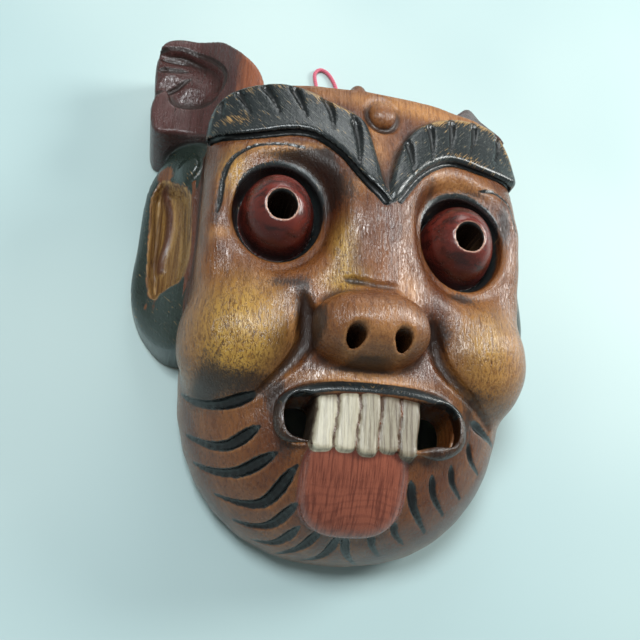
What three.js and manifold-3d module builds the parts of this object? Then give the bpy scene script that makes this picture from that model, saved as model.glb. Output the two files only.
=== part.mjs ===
// Carved wooden mask of a grinning boar, lying on its back: one block of wood, hollow behind,
// with a loop of cord out of its crown to hang it by.
// Millimetres. +X is the viewer's right, +Y runs from the chin to the crown, +Z comes out of the face.

import * as THREE from "three";
import { mergeVertices } from "three/addons/utils/BufferGeometryUtils.js";
import Module from "manifold-3d";

const wasm = await Module();
wasm.setup();

// Sizes that are set one by one, in millimetres
const faceHeight = 204; // chin to the top edge of the forehead
const rimWall = 12; // wood around the hollow, at the back edge
const hollowDepth = 54; // hollow behind the face, from the back edge
const pupilBore = 12.4; // holes to look through
const nostrilBore = 7.6;
const mouthBore = 14; // holes at the two ends of the mouth
const cordDiameter = 2.2;
const cordBore = 3.2; // two holes in the crown that take the ends of the cord
const cordBoreDepth = 7;
const gap = 1; // between the end of the cord and the bottom of its hole

// The carving is laid out on a face of this height, nostrils near y = 0, and scaled to faceHeight
const layoutHeight = 204;
const scale = faceHeight / layoutHeight;
const inLayout = (millimetres) => millimetres / scale;

// Head: a jaw like half an egg and a forehead block with a sharp crown edge
const jaw = { y: 2, z: 16, rx: 75, ry: 79, rz: 60, power: 2.1, sidePower: 2.3 };
const forehead = { halfWidth: 73, crownY: 127, corner: 20, height: 82, sideDrop: 16, round: 9 };
const noseRidge = { y: 66, rise: 9, spread: 28 };
const cheek = { x: 47, y: 9, z: 46, rx: 31, ry: 32, rz: 34 };
const rayCentre = new THREE.Vector3(0, 25, 0);
const dome = { rx: 78, ry: 104, rz: 88 };

// Features of the face
const rightEyeDrop = 3.5; // the right eye sits lower than the left one
const basin = { x: 41, y: 58, z: 93, rx: 26, ry: 33, rz: 29, edge: 11 };
const eye = { x: 41, y: 60, z: 68, rx: 16.2, ry: 19, rz: 20, groove: 2.4 };
const pupil = { x: 41, y: 57 };
const crease = { rx: 26, ry: 31, from: 35, to: 105, width: 2.6, depth: 2 };
const snout = { x: -3, y: 4.5, z: 80, rx: 24, ry: 15.5, rz: 22 };
const nostril = { x: 9.2, y: -3.6 };
const bridge = { halfWidth: 13, top: 90, from: 18, to: 60 };
const mouth = {
  x: 1, y: -28.5, z: 73, halfWidth: 35.5, halfHeight: 11.5, lip: 4, floor: 58, power: 2.8, sag: 3,
};
const mouthHole = { x: 28.6, y: -28 };
const teeth = {
  x: -1.3, count: 5, halfWidth: 21.5, top: -16, bottom: -40, front: 75.5, back: 50, split: 1.1,
};
const tongue = { x: -3.7, y: -50, z: 57.5, rx: 21.3, ry: 22, rz: 9, lean: 33, power: 2.8 };
const boss = { x: 3.6, y: 113.6, z: 82.6, radius: 6.3, rise: 5 };
const knob = { x: -7, z: 77, rx: 4.2, ry: 4.8, rz: 5 };

// Brow: a raised band that meets its other half over the nose, the two halves not quite alike
const leftBrow = [
  [-73.5, 98.5], [-73.6, 108], [-71, 116], [-65, 122], [-54, 125.2], [-43, 125.6], [-35.6, 123.8],
  [-25.7, 119.2], [-15.3, 113.4], [-8.5, 109.8], [-4.6, 105.4], [-2.6, 98], [-0.6, 82.3], [0.9, 70],
  [2.6, 65.4], [4.2, 61], [1.5, 60], [-6.7, 68.7], [-16.4, 84.3], [-26.7, 94.8], [-35.2, 97.6],
  [-52.2, 95.6], [-62.5, 95.4],
];
const rightBrow = [
  [2.6, 64.2], [3.5, 71.6], [8.6, 89.5], [13, 99.7], [20, 109.1], [26.4, 114.1], [36.3, 119.3],
  [47.7, 122.6], [58.6, 123.6], [66.5, 120.6], [71.6, 113], [73.6, 103], [73.2, 95], [61.3, 93.2],
  [49.5, 92.8], [41.3, 93.2], [33.2, 92], [26, 87.5], [19.3, 80.9], [12.2, 71.2], [6.9, 62.6], [4.2, 60.4],
];
const brow = { rise: 3.6, round: 1.6, foot: 62, grooves: 5, firstGroove: 65, spacing: 13.4, lean: 8 };

// Beard: gouges that fan out from the mouth to the back edge
const beard = { eachSide: 7, spread: 66, swing: 15, width: 4.6, depth: 3.2 };

// Ear: a leaf of wood beside the head, hollowed, with a ridge in it, swept back to the side
const ear = { x: -85, y: 72, front: 34, swept: 21, rim: 5, hollow: 8, ridge: 4 };
const earOutline = [
  [-66, 126], [-80, 134], [-91, 122], [-99, 106], [-101, 72], [-101, 42], [-93, 23], [-80, 12], [-64, 16],
];

// Curl: a rolled lock at each corner of the crown, the right one set lower
const curl = { x: -80, y: 152, low: 36, high: 58, roll: 3, panel: 4 };
const curlOutline = [
  [-44, 118], [-47, 136], [-50.8, 149.5], [-57.8, 160.6], [-63.3, 168.5], [-72, 178.5], [-86.7, 182.5],
  [-97.5, 180], [-102, 173], [-102.5, 158], [-101.2, 144], [-102.3, 135], [-98.8, 122], [-84, 122], [-62, 116],
];
const rightCurl = { inward: 7, lower: 17 };

// Smooth joins between forms, k is how far the blend reaches
function smoothMin(a, b, k) {
  const h = Math.max(k - Math.abs(a - b), 0) / k;
  return Math.min(a, b) - (h * h * k) / 4;
}

function smoothMax(a, b, k) {
  return -smoothMin(-a, -b, k);
}

function ellipsoidField(x, y, z, rx, ry, rz) {
  return (Math.hypot(x / rx, y / ry, z / rz) - 1) * Math.min(rx, ry, rz);
}

function ramp(from, to, value) {
  const t = Math.min(Math.max((value - from) / (to - from), 0), 1);
  return t * t * (3 - 2 * t);
}

function eyeDrop(x) {
  return x > 0 ? rightEyeDrop : 0;
}

function foreheadTop(ax, y) {
  const { height, sideDrop, halfWidth } = forehead;
  const ridge = noseRidge.rise * Math.exp(-(((y - noseRidge.y) / noseRidge.spread) ** 2));
  return height + ridge - sideDrop * (ax / halfWidth) ** 2.2;
}

// Negative inside the head, in layout millimetres
function headField(x, y, z) {
  const ax = Math.abs(x);
  const egg = (ax / jaw.rx) ** jaw.sidePower + (Math.abs(y - jaw.y) / jaw.ry) ** jaw.power
    + (Math.abs(z - jaw.z) / jaw.rz) ** jaw.power;
  let field = (egg ** (1 / jaw.power) - 1) * jaw.rz;

  const qx = ax - forehead.halfWidth + forehead.corner;
  const qy = Math.abs(y - 70) - (forehead.crownY - 70) + forehead.corner;
  const outside = Math.hypot(Math.max(qx, 0), Math.max(qy, 0));
  const plan = outside + Math.min(Math.max(qx, qy), 0) - forehead.corner;
  const edge = forehead.round * (1 - ramp(90, 122, y)) + 2;
  field = smoothMin(field, smoothMax(plan, (z - foreheadTop(ax, y)) * 0.9, edge), 14);

  const bulge = ellipsoidField(ax - cheek.x, y - cheek.y, z - cheek.z, cheek.rx, cheek.ry, cheek.rz);
  field = smoothMin(field, bulge, 5);

  const basinY = basin.y - eyeDrop(x);
  const socket = ellipsoidField(ax - basin.x, y - basinY, z - basin.z, basin.rx, basin.ry, basin.rz);
  field = smoothMax(field, -socket, basin.edge);

  const along = Math.min(Math.max(y, bridge.from), bridge.to);
  const ridge = Math.hypot(ax, (y - along) * 0.9, z - bridge.top + bridge.halfWidth) - bridge.halfWidth;
  field = smoothMin(field, ridge, 10);
  const nose = ellipsoidField(x - snout.x, y - snout.y, z - snout.z, snout.rx, snout.ry, snout.rz);
  return smoothMin(field, nose, 3);
}

// Where a line from inside the head, through a point near the face, leaves the wood
function onFace(x, y, z, field = headField) {
  const way = new THREE.Vector3(x, y, z).sub(rayCentre).normalize();
  const place = (reach) => rayCentre.clone().addScaledVector(way, reach);
  const at = (reach) => field(...place(reach).toArray());
  let outside = 150;
  while (at(outside) > 0) outside -= 1.5;
  let inside = outside;
  outside += 1.5;
  for (let i = 0; i < 18; i += 1) {
    const middle = (inside + outside) / 2;
    if (at(middle) > 0) outside = middle;
    else inside = middle;
  }
  return place(inside);
}

function geometryOf(vertices, faces) {
  const geometry = new THREE.BufferGeometry();
  geometry.setAttribute("position", new THREE.Float32BufferAttribute(vertices, 3));
  geometry.setIndex(faces);
  return geometry;
}

// The head as a closed dome: a square grid wrapped over the face, closed by a flat back
function headGeometry(cells = 38) {
  const vertices = [];
  const faces = [];
  const at = (i, j) => j * (cells + 1) + i;
  for (let j = 0; j <= cells; j += 1) {
    for (let i = 0; i <= cells; i += 1) {
      const a = (2 * i) / cells - 1;
      const b = (2 * j) / cells - 1;
      const p = a * Math.sqrt(1 - (b * b) / 2);
      const q = b * Math.sqrt(1 - (a * a) / 2);
      const out = Math.hypot(p, q);
      const up = out > 0.9999 ? 0 : (1 - out) * (Math.PI / 2);
      const side = out > 0 ? Math.cos(up) / out : 0;
      const target = [p * side * dome.rx, rayCentre.y + q * side * dome.ry, Math.sin(up) * dome.rz];
      vertices.push(...onFace(...target).toArray());
    }
  }
  const rim = [];
  for (let i = 0; i < cells; i += 1) rim.push(at(i, 0));
  for (let j = 0; j < cells; j += 1) rim.push(at(cells, j));
  for (let i = cells; i > 0; i -= 1) rim.push(at(i, cells));
  for (let j = cells; j > 0; j -= 1) rim.push(at(0, j));
  for (let j = 0; j < cells; j += 1) {
    for (let i = 0; i < cells; i += 1) {
      const [a, b, c, d] = [at(i, j), at(i + 1, j), at(i + 1, j + 1), at(i, j + 1)];
      if ((i < cells / 2) === (j < cells / 2)) faces.push(a, b, c, a, c, d);
      else faces.push(a, b, d, b, c, d);
    }
  }
  const middle = vertices.length / 3;
  vertices.push(rayCentre.x, rayCentre.y, 0);
  rim.forEach((vertex, k) => faces.push(middle, rim[(k + 1) % rim.length], vertex));
  return geometryOf(vertices, faces);
}

function solidOf(geometry) {
  const bare = geometry.clone();
  bare.deleteAttribute("normal");
  bare.deleteAttribute("uv");
  const welded = mergeVertices(bare, 1e-4);
  return new wasm.Manifold(new wasm.Mesh({
    numProp: 3,
    vertProperties: new Float32Array(welded.attributes.position.array),
    triVerts: new Uint32Array(welded.index.array),
  }));
}

function geometryFrom(solid) {
  const { vertProperties, triVerts } = solid.getMesh();
  return geometryOf(Array.from(vertProperties), Array.from(triVerts));
}

// A closed relief: an outline filled with rings towards its middle, raised to heightAt, on a flat back
function reliefGeometry(edge, centre, heightAt, rings, back = 0) {
  const spokes = edge.length;
  const vertices = [];
  const faces = [];
  for (let ring = 0; ring < rings; ring += 1) {
    const inward = ring / rings;
    edge.forEach((point) => {
      const x = point.x + (centre.x - point.x) * inward;
      const y = point.y + (centre.y - point.y) * inward;
      vertices.push(x, y, heightAt(x, y, inward));
    });
  }
  const top = vertices.length / 3;
  vertices.push(centre.x, centre.y, heightAt(centre.x, centre.y, 1));
  edge.forEach((point) => vertices.push(point.x, point.y, back));
  vertices.push(centre.x, centre.y, back);
  const bottom = top + 1 + spokes;
  for (let i = 0; i < spokes; i += 1) {
    const next = (i + 1) % spokes;
    for (let ring = 0; ring < rings - 1; ring += 1) {
      const [a, b] = [ring * spokes + i, ring * spokes + next];
      faces.push(a, b, b + spokes, a, b + spokes, a + spokes);
    }
    const last = (rings - 1) * spokes;
    faces.push(last + i, last + next, top);
    faces.push(top + 1 + i, top + 1 + next, next, top + 1 + i, next, i);
    faces.push(bottom, top + 1 + next, top + 1 + i);
  }
  return geometryOf(vertices, faces);
}

// A closed smooth outline as evenly spaced points, walked anticlockwise
function smoothEdge(outline, count) {
  const flat = outline.map(([x, y]) => new THREE.Vector2(x, y));
  const turned = THREE.ShapeUtils.isClockWise(flat) ? flat.reverse() : flat;
  const knots = turned.map((point) => new THREE.Vector3(point.x, point.y, 0));
  const curve = new THREE.CatmullRomCurve3(knots, true);
  return curve.getSpacedPoints(count).slice(0, count);
}

function earHeight(x, y, inward) {
  const face = ear.front - ear.swept * ramp(-70, -102, x);
  const rim = ear.rim * (1 - ramp(-0.14, 0.16, inward));
  const dish = ear.hollow * ramp(0.24, 0.46, inward);
  const fold = (x - ear.x + 3 + (y - ear.y) * 0.08) / 3.5;
  return face - rim - dish + ear.ridge * Math.exp(-fold * fold) * ramp(0.4, 0.6, inward);
}

function curlHeight(x, y, inward) {
  const face = curl.low + (curl.high - curl.low) * ramp(-86, -50, x);
  const roll = curl.roll * (1 - ramp(-0.1, 0.16, inward));
  const panel = curl.panel * ramp(0.26, 0.36, inward) * ramp(-56, -66, x) * ramp(138, 143, y);
  return face - roll - panel;
}

function browHeight(x, y, inward) {
  return foreheadTop(Math.abs(x), y) + brow.rise - (inward > 0 ? 0 : brow.round);
}

function ellipsoidSolid(x, y, z, rx, ry, rz, around = 16, down = 10) {
  const geometry = new THREE.SphereGeometry(1, around, down);
  geometry.rotateX(Math.PI / 2);
  geometry.scale(rx, ry, rz);
  geometry.translate(x, y, z);
  return solidOf(geometry);
}

// Pushes the points of a unit sphere out to a squarer form: power 2 leaves it round
function squareOff(geometry, power) {
  const place = geometry.attributes.position;
  for (let i = 0; i < place.count; i += 1) {
    const size = [place.getX(i), place.getY(i), place.getZ(i)].map((value) => Math.abs(value) ** power);
    const reach = (size[0] + size[1] + size[2]) ** (-1 / power);
    place.setXYZ(i, place.getX(i) * reach, place.getY(i) * reach, place.getZ(i) * reach);
  }
}

function ovalPoint(turn, rx, ry, power) {
  const [c, s] = [Math.cos(turn), Math.sin(turn)];
  const reach = (Math.abs(c) ** power + Math.abs(s) ** power) ** (-1 / power);
  return new THREE.Vector2(rx * reach * c, ry * reach * s);
}

// A straight column with an oval plan
function ovalColumn(x, y, rx, ry, power, low, high, sides) {
  const turns = Array.from({ length: sides }, (_, i) => (2 * Math.PI * i) / sides);
  const shape = new THREE.Shape(turns.map((turn) => ovalPoint(turn, rx, ry, power)));
  const geometry = new THREE.ExtrudeGeometry(shape, { depth: high - low, bevelEnabled: false });
  geometry.translate(x, y, low);
  return solidOf(geometry);
}

// The lips: a ring of round section around the mouth, sagging at its ends, thin where the tongue crosses it
function lipSolid(sides = 6, steps = 28) {
  const vertices = [];
  const faces = [];
  for (let i = 0; i < steps; i += 1) {
    const turn = (2 * Math.PI * i) / steps;
    const point = ovalPoint(turn, mouth.halfWidth, mouth.halfHeight, mouth.power);
    const way = new THREE.Vector2(Math.cos(turn) / mouth.halfWidth, Math.sin(turn) / mouth.halfHeight);
    way.normalize();
    const middle = mouth.z - mouth.sag * (point.x / mouth.halfWidth) ** 2;
    const beside = ramp(tongue.rx - 4, tongue.rx + 6, Math.abs(mouth.x + point.x - tongue.x));
    const radius = mouth.lip * (point.y > 0 ? 1 : 0.3 + 0.7 * beside);
    for (let j = 0; j < sides; j += 1) {
      const around = (2 * Math.PI * j) / sides;
      const out = radius * Math.cos(around);
      const rise = radius * Math.sin(around);
      vertices.push(mouth.x + point.x + way.x * out, mouth.y + point.y + way.y * out, middle + rise);
      const next = ((i + 1) % steps) * sides;
      const [a, b] = [i * sides + j, i * sides + ((j + 1) % sides)];
      const [c, d] = [next + j, next + ((j + 1) % sides)];
      faces.push(a, c, d, a, d, b);
    }
  }
  return solidOf(geometryOf(vertices, faces));
}

// One tooth with a rounded lower edge, the row arched back at its ends
function toothSolid(index) {
  const width = (2 * teeth.halfWidth) / teeth.count;
  const x = -teeth.halfWidth + (index + 0.5) * width;
  const half = (width - teeth.split) / 2;
  const shape = new THREE.Shape();
  shape.moveTo(-half, teeth.top);
  shape.lineTo(-half, teeth.bottom + 3);
  shape.quadraticCurveTo(-half, teeth.bottom, 0, teeth.bottom);
  shape.quadraticCurveTo(half, teeth.bottom, half, teeth.bottom + 3);
  shape.lineTo(half, teeth.top);
  const front = teeth.front - 3 * (x / teeth.halfWidth) ** 2;
  const geometry = new THREE.ExtrudeGeometry(shape, {
    depth: front - teeth.back - 1,
    bevelThickness: 1,
    bevelSize: 0.8,
    bevelOffset: -0.8,
    bevelSegments: 1,
    curveSegments: 2,
  });
  geometry.translate(teeth.x + x, 0, teeth.back);
  return solidOf(geometry);
}

function tongueSolid() {
  const geometry = new THREE.SphereGeometry(1, 20, 10);
  geometry.rotateX(Math.PI / 2);
  squareOff(geometry, tongue.power);
  geometry.scale(tongue.rx, tongue.ry, tongue.rz);
  geometry.rotateX(THREE.MathUtils.degToRad(tongue.lean));
  geometry.translate(tongue.x, tongue.y, tongue.z);
  return solidOf(geometry);
}

// Which way the wood faces at a point of the head
function normalAt(point) {
  const step = 0.5;
  const slope = (dx, dy, dz) => headField(point.x + dx, point.y + dy, point.z + dz)
    - headField(point.x - dx, point.y - dy, point.z - dz);
  return new THREE.Vector3(slope(step, 0, 0), slope(0, step, 0), slope(0, 0, step)).normalize();
}

// A V-shaped cutter along points on the wood, narrowing at both ends
function gougeSolid(points, width, depth, lift = 1.5) {
  const vertices = [];
  const faces = [];
  points.forEach((point, i) => {
    const before = points[Math.max(i - 1, 0)];
    const after = points[Math.min(i + 1, points.length - 1)];
    const out = normalAt(point);
    const across = new THREE.Vector3().subVectors(after, before).cross(out).normalize();
    const swell = 0.25 + 0.75 * Math.sin((Math.PI * i) / (points.length - 1));
    const open = (width / 2) * swell * (1 + lift / depth);
    vertices.push(...point.clone().addScaledVector(out, lift).addScaledVector(across, -open).toArray());
    vertices.push(...point.clone().addScaledVector(out, lift).addScaledVector(across, open).toArray());
    vertices.push(...point.clone().addScaledVector(out, -depth * swell).toArray());
    if (i === 0) return;
    const [now, last] = [3 * i, 3 * i - 3];
    for (let side = 0; side < 3; side += 1) {
      const next = (side + 1) % 3;
      faces.push(last + side, last + next, now + next, last + side, now + next, now + side);
    }
  });
  const end = 3 * points.length - 3;
  faces.push(0, 2, 1, end, end + 1, end + 2);
  return solidOf(geometryOf(vertices, faces));
}

// Points on the face between two places, each [angle, reach, height] around the mouth
function fanPath(from, to, steps) {
  return Array.from({ length: steps + 1 }, (_, i) => {
    const [angle, reach, height] = from.map((value, k) => value + ((to[k] - value) * i) / steps);
    const turn = THREE.MathUtils.degToRad(angle);
    return onFace(reach * Math.sin(turn), -reach * Math.cos(turn), height);
  });
}

function beardGouges() {
  const cuts = [];
  for (let i = -beard.eachSide; i <= beard.eachSide; i += 1) {
    const angle = Math.sign(i) * beard.spread * (Math.abs(i) / beard.eachSide) ** 1.2;
    const swung = angle + Math.sign(i) * beard.swing * Math.min(Math.abs(angle) / 30, 1);
    const inner = Math.abs(angle) > 28 ? 51 : 68;
    const path = fanPath([angle, inner, inner > 60 ? 48 : 64], [swung, 78, 22], 3);
    cuts.push(gougeSolid(path, beard.width, beard.depth));
  }
  return cuts;
}

// Brow grooves lean in towards the nose, crease arcs run over the outer side of each eye
function browAndLidGouges(side) {
  const cuts = [];
  for (let i = 0; i < brow.grooves; i += 1) {
    const top = brow.firstGroove - i * brow.spacing;
    const high = i === brow.grooves - 1 ? 104 : 124 - 0.004 * (top - 52) ** 2;
    const points = [0, 0.5, 1].map((t) => {
      const [ax, y] = [top - brow.lean * t, high - 22 * t];
      return new THREE.Vector3(side * ax, y, foreheadTop(ax, y) + brow.rise);
    });
    cuts.push(gougeSolid(points, 3.6, 2.6));
  }
  const arc = Array.from({ length: 6 }, (_, i) => {
    const turn = THREE.MathUtils.degToRad(crease.from + ((crease.to - crease.from) * i) / 5);
    const [ax, y] = [eye.x + crease.rx * Math.cos(turn), eye.y - eyeDrop(side) + crease.ry * Math.sin(turn)];
    return onFace(side * ax, y, 80);
  });
  cuts.push(gougeSolid(arc, crease.width, crease.depth));
  return cuts;
}

// The hollow behind the face: a squarish dome that follows the outline, a rim's width inside it
function hollowSolid() {
  const wall = inLayout(rimWall);
  const [top, bottom] = [forehead.crownY - wall, jaw.y - jaw.ry + 2 + wall];
  const geometry = new THREE.SphereGeometry(1, 24, 12);
  geometry.rotateX(Math.PI / 2);
  squareOff(geometry, 3.2);
  geometry.scale(forehead.halfWidth - wall, (top - bottom) / 2, inLayout(hollowDepth));
  geometry.translate(0, (top + bottom) / 2, 0);
  return solidOf(geometry);
}

function holeSolid(x, y, bore, sides) {
  const radius = inLayout(bore) / 2;
  return ovalColumn(x, y, radius, radius, 2, 10, 130, sides);
}

// The carved block, before it is hollowed
let block = solidOf(headGeometry());
for (const side of [-1, 1]) {
  const [x, y] = [side * eye.x, eye.y - eyeDrop(side)];
  const [rx, ry] = [eye.rx + eye.groove, eye.ry + eye.groove];
  block = block.subtract(ellipsoidSolid(x, y, eye.z + 4, rx, ry, eye.rz - 7));
  block = block.add(ellipsoidSolid(x, y, eye.z, eye.rx, eye.ry, eye.rz, 20, 12));
  const edge = smoothEdge(side < 0 ? leftBrow : rightBrow, 28);
  block = block.add(solidOf(reliefGeometry(edge, { x: side * 40, y: 108 }, browHeight, 2, brow.foot)));
  browAndLidGouges(side).forEach((cut) => { block = block.subtract(cut); });
}
beardGouges().forEach((cut) => { block = block.subtract(cut); });
block = block.add(lipSolid());
block = block.subtract(ovalColumn(
  mouth.x, mouth.y, mouth.halfWidth - 1.5, mouth.halfHeight - 1.5, mouth.power, mouth.floor, 120, 24,
));
for (const side of [-1, 1]) {
  const across = inLayout(mouthBore) / 2;
  const x = mouth.x + side * mouthHole.x;
  block = block.subtract(ovalColumn(x, mouthHole.y, across, across * 1.25, 2.4, 10, 80, 14));
}
for (let i = 0; i < teeth.count; i += 1) block = block.add(toothSolid(i));
block = block.add(tongueSolid());
block = block.add(ellipsoidSolid(boss.x, boss.y, boss.z, boss.radius, boss.radius, boss.rise, 12, 6));
block = block.add(ellipsoidSolid(knob.x, forehead.crownY, knob.z, knob.rx, knob.ry, knob.rz, 10, 6));

const earSolid = solidOf(reliefGeometry(smoothEdge(earOutline, 26), ear, earHeight, 5));
const curlSolid = solidOf(reliefGeometry(smoothEdge(curlOutline, 28), curl, curlHeight, 5));
block = block.add(earSolid).add(curlSolid).add(earSolid.mirror([1, 0, 0]));
block = block.add(curlSolid.mirror([1, 0, 0]).translate([-rightCurl.inward, -rightCurl.lower, 0]));

// The hollow and the holes that open into it
block = block.subtract(hollowSolid());
for (const side of [-1, 1]) {
  block = block.subtract(holeSolid(side * pupil.x, pupil.y - eyeDrop(side), pupilBore, 14));
  block = block.subtract(holeSolid(snout.x + side * nostril.x, nostril.y, nostrilBore, 10));
}

// Cord: a loop out of two holes in the crown, lying on whatever the mask lies on
const crown = forehead.crownY * scale;
const cordEnd = gap - cordBoreDepth;
const cordPoints = [
  [9, cordEnd, 9], [9, 0, 9], [9, 5, 8.2], [8.4, 11, 5], [7.6, 18, 2], [6.8, 26, 1.25], [5, 42, 1.25],
  [3, 56, 1.25], [1, 67, 1.25], [-2.2, 76, 1.25], [-5.9, 81, 1.25], [-9.8, 82.2, 1.25], [-12.9, 78.8, 1.25],
  [-12.4, 71.5, 1.25], [-9.4, 60, 1.25], [-5.6, 45, 1.25], [-2.8, 28, 1.25], [-1.4, 18, 2], [-0.6, 11, 5],
  [0, 5, 8.2], [0, 0, 9], [0, cordEnd, 9],
].map(([x, y, z]) => new THREE.Vector3(x, crown + y, z));

function crownHole(x, z) {
  const radius = inLayout(cordBore) / 2;
  const geometry = new THREE.CylinderGeometry(radius, radius, inLayout(2 * cordBoreDepth), 12);
  geometry.translate(x / scale, forehead.crownY, z / scale);
  return solidOf(geometry);
}
for (const end of [cordPoints[0], cordPoints.at(-1)]) block = block.subtract(crownHole(end.x, end.z));

// Splinters that the cuts leave loose fall away; anything larger would be a fault and stays
const splinterVolume = 20;
block = block.decompose()
  .filter((body) => body.volume() > splinterVolume)
  .reduce((all, body) => all.add(body));

const maskGeometry = geometryFrom(block);
maskGeometry.scale(scale, scale, scale);

const ring = new THREE.Shape(Array.from({ length: 8 }, (_, i) => {
  const turn = (2 * Math.PI * i) / 8;
  return new THREE.Vector2((cordDiameter / 2) * Math.cos(turn), (cordDiameter / 2) * Math.sin(turn));
}));
const cordGeometry = new THREE.ExtrudeGeometry(ring, {
  steps: 36, bevelEnabled: false, extrudePath: new THREE.CatmullRomCurve3(cordPoints),
});

// The frame's origin is under the middle of the carving, on the surface that it lies on
maskGeometry.computeBoundingBox();
const middle = maskGeometry.boundingBox.getCenter(new THREE.Vector3());
for (const geometry of [maskGeometry, cordGeometry]) geometry.translate(-middle.x, -middle.y, 0);

function mesh(name, geometry, material) {
  const made = new THREE.Mesh(geometry, new THREE.MeshStandardMaterial(material));
  made.name = name;
  return made;
}

const boar = new THREE.Group();
boar.add(mesh("mask", maskGeometry, { color: 0x8a5a2c, roughness: 0.35, metalness: 0 }));
boar.add(mesh("hanging_loop", cordGeometry, { color: 0xd96a80, roughness: 0.7, metalness: 0 }));

export default boar;
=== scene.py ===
"""Carved boar mask lying on its back: the finished carving, its hanging loop and a plain studio.

The block of wood is carved as distances on a grid, in the millimetres of the carver's drawing, and every
stain, paint and worn edge follows the same forms that cut it. Everything placed in Blender is in metres.
"""

import logging
import math
from dataclasses import dataclass, field
from enum import Enum
from typing import Callable, Dict, List, Sequence, Tuple, Union

import bpy
import numpy as np
from mathutils import Matrix, Vector

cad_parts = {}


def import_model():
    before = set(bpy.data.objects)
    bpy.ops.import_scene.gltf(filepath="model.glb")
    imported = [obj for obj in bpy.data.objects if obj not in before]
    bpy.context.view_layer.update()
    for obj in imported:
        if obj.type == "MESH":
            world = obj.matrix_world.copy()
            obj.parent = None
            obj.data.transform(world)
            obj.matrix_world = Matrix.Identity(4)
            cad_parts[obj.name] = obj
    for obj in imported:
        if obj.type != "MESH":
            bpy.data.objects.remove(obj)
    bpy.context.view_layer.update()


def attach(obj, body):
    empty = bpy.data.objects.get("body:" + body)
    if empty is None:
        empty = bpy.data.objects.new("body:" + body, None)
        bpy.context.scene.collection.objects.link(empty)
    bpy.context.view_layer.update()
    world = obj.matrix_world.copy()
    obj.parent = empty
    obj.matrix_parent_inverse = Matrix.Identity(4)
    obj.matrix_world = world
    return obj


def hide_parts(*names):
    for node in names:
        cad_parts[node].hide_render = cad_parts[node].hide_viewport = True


log = logging.getLogger("boar_mask")

Array = np.ndarray
Form = Callable[[Array, Array, Array], Array]
Point = Tuple[float, float, float]
Plan = Tuple[float, float]
Colour = Tuple[float, float, float]

MIDDLE_X = -0.4613
MIDDLE_Y = 52.7469
FAR = 9.0


def to_metres(points: Array) -> Array:
    """Moves points of the drawing into the part's frame.

    Args:
        points: Points in drawing millimetres, one to a row.

    Returns:
        The same points in metres.
    """
    return (np.asarray(points, float) - np.array([MIDDLE_X, MIDDLE_Y, 0.0])) / 1000.0


def smooth_min(a: Array, b: Array, reach: float) -> Array:
    """Joins two forms with a fillet.

    Args:
        a: Distances to the first form.
        b: Distances to the second form.
        reach: How far the fillet reaches, in millimetres.

    Returns:
        Distances to the joined form.
    """
    if reach <= 0:
        return np.minimum(a, b)
    near = np.maximum(reach - np.abs(a - b), 0) / reach
    return np.minimum(a, b) - near * near * reach / 4


def smooth_max(a: Array, b: Array, reach: float) -> Array:
    """Intersects two forms with a rounded edge, as smooth_min joins them."""
    return -smooth_min(-a, -b, reach)


def ramp(start: float, end: float, value: Array) -> Array:
    """Rises smoothly from 0 at start to 1 at end."""
    t = np.clip((value - start) / (end - start), 0, 1)
    return t * t * (3 - 2 * t)


def oval(x: Array, y: Array, z: Array, radii: Point, power: float = 2.0) -> Array:
    """Distances to an ellipsoid about the origin, squarer as power grows.

    Args:
        x: Offsets along X.
        y: Offsets along Y.
        z: Offsets along Z.
        radii: The three half widths.
        power: 2 for an ellipsoid, more for a squarer form.

    Returns:
        Distances, negative inside.
    """
    size = np.abs(x / radii[0]) ** power + np.abs(y / radii[1]) ** power + np.abs(z / radii[2]) ** power
    return (size ** (1 / power) - 1) * min(radii)


def through(points: Sequence[Sequence[float]], per_span: int, closed: bool = False) -> Array:
    """A smooth line through points, with centripetal spacing.

    Args:
        points: The points that the line passes.
        per_span: How many steps each span gets.
        closed: Whether the line comes back to its first point.

    Returns:
        Points on the line, one to a row; a closed line doesn't repeat its first point.
    """
    knots = np.asarray(points, float)
    count = len(knots)
    if not closed and count < 3:
        steps = np.linspace(0, 1, per_span + 1)[:, None]
        return knots[0] + (knots[1] - knots[0]) * steps
    line: List[Array] = []
    for i in range(count if closed else count - 1):
        b, c = knots[i], knots[(i + 1) % count]
        a = knots[i - 1] if closed or i > 0 else 2 * b - c
        d = knots[(i + 2) % count] if closed or i + 2 < count else 2 * c - b
        gaps = [max(float(np.linalg.norm(v)) ** 0.5, 1e-4) for v in (b - a, c - b, d - c)]
        out = ((b - a) / gaps[0] - (c - a) / (gaps[0] + gaps[1]) + (c - b) / gaps[1]) * gaps[1]
        into = ((c - b) / gaps[1] - (d - b) / (gaps[1] + gaps[2]) + (d - c) / gaps[2]) * gaps[1]
        for step in range(per_span):
            t = step / per_span
            line.append(
                b * (2 * t**3 - 3 * t**2 + 1) + out * (t**3 - 2 * t**2 + t)
                + c * (3 * t**2 - 2 * t**3) + into * (t**3 - t**2)
            )
    if not closed:
        line.append(knots[-1])
    return np.array(line)


def step_gap(a: Array, b: Array, x: Array, y: Array) -> Array:
    """Squared distances in plan to the straight step from a to b."""
    ex, ey = b[0] - a[0], b[1] - a[1]
    wx, wy = x - a[0], y - a[1]
    t = np.clip((wx * ex + wy * ey) / (ex * ex + ey * ey + 1e-9), 0, 1)
    return (wx - ex * t) ** 2 + (wy - ey * t) ** 2


def quarter_round(inward: Array, reach: float) -> Array:
    """Height of a rounded edge, from 0 at the outline to 1 at that reach inwards."""
    left = 1 - np.clip(inward / reach, 0, 1)
    return np.sqrt(np.maximum(1 - left**2, 0))


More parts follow.
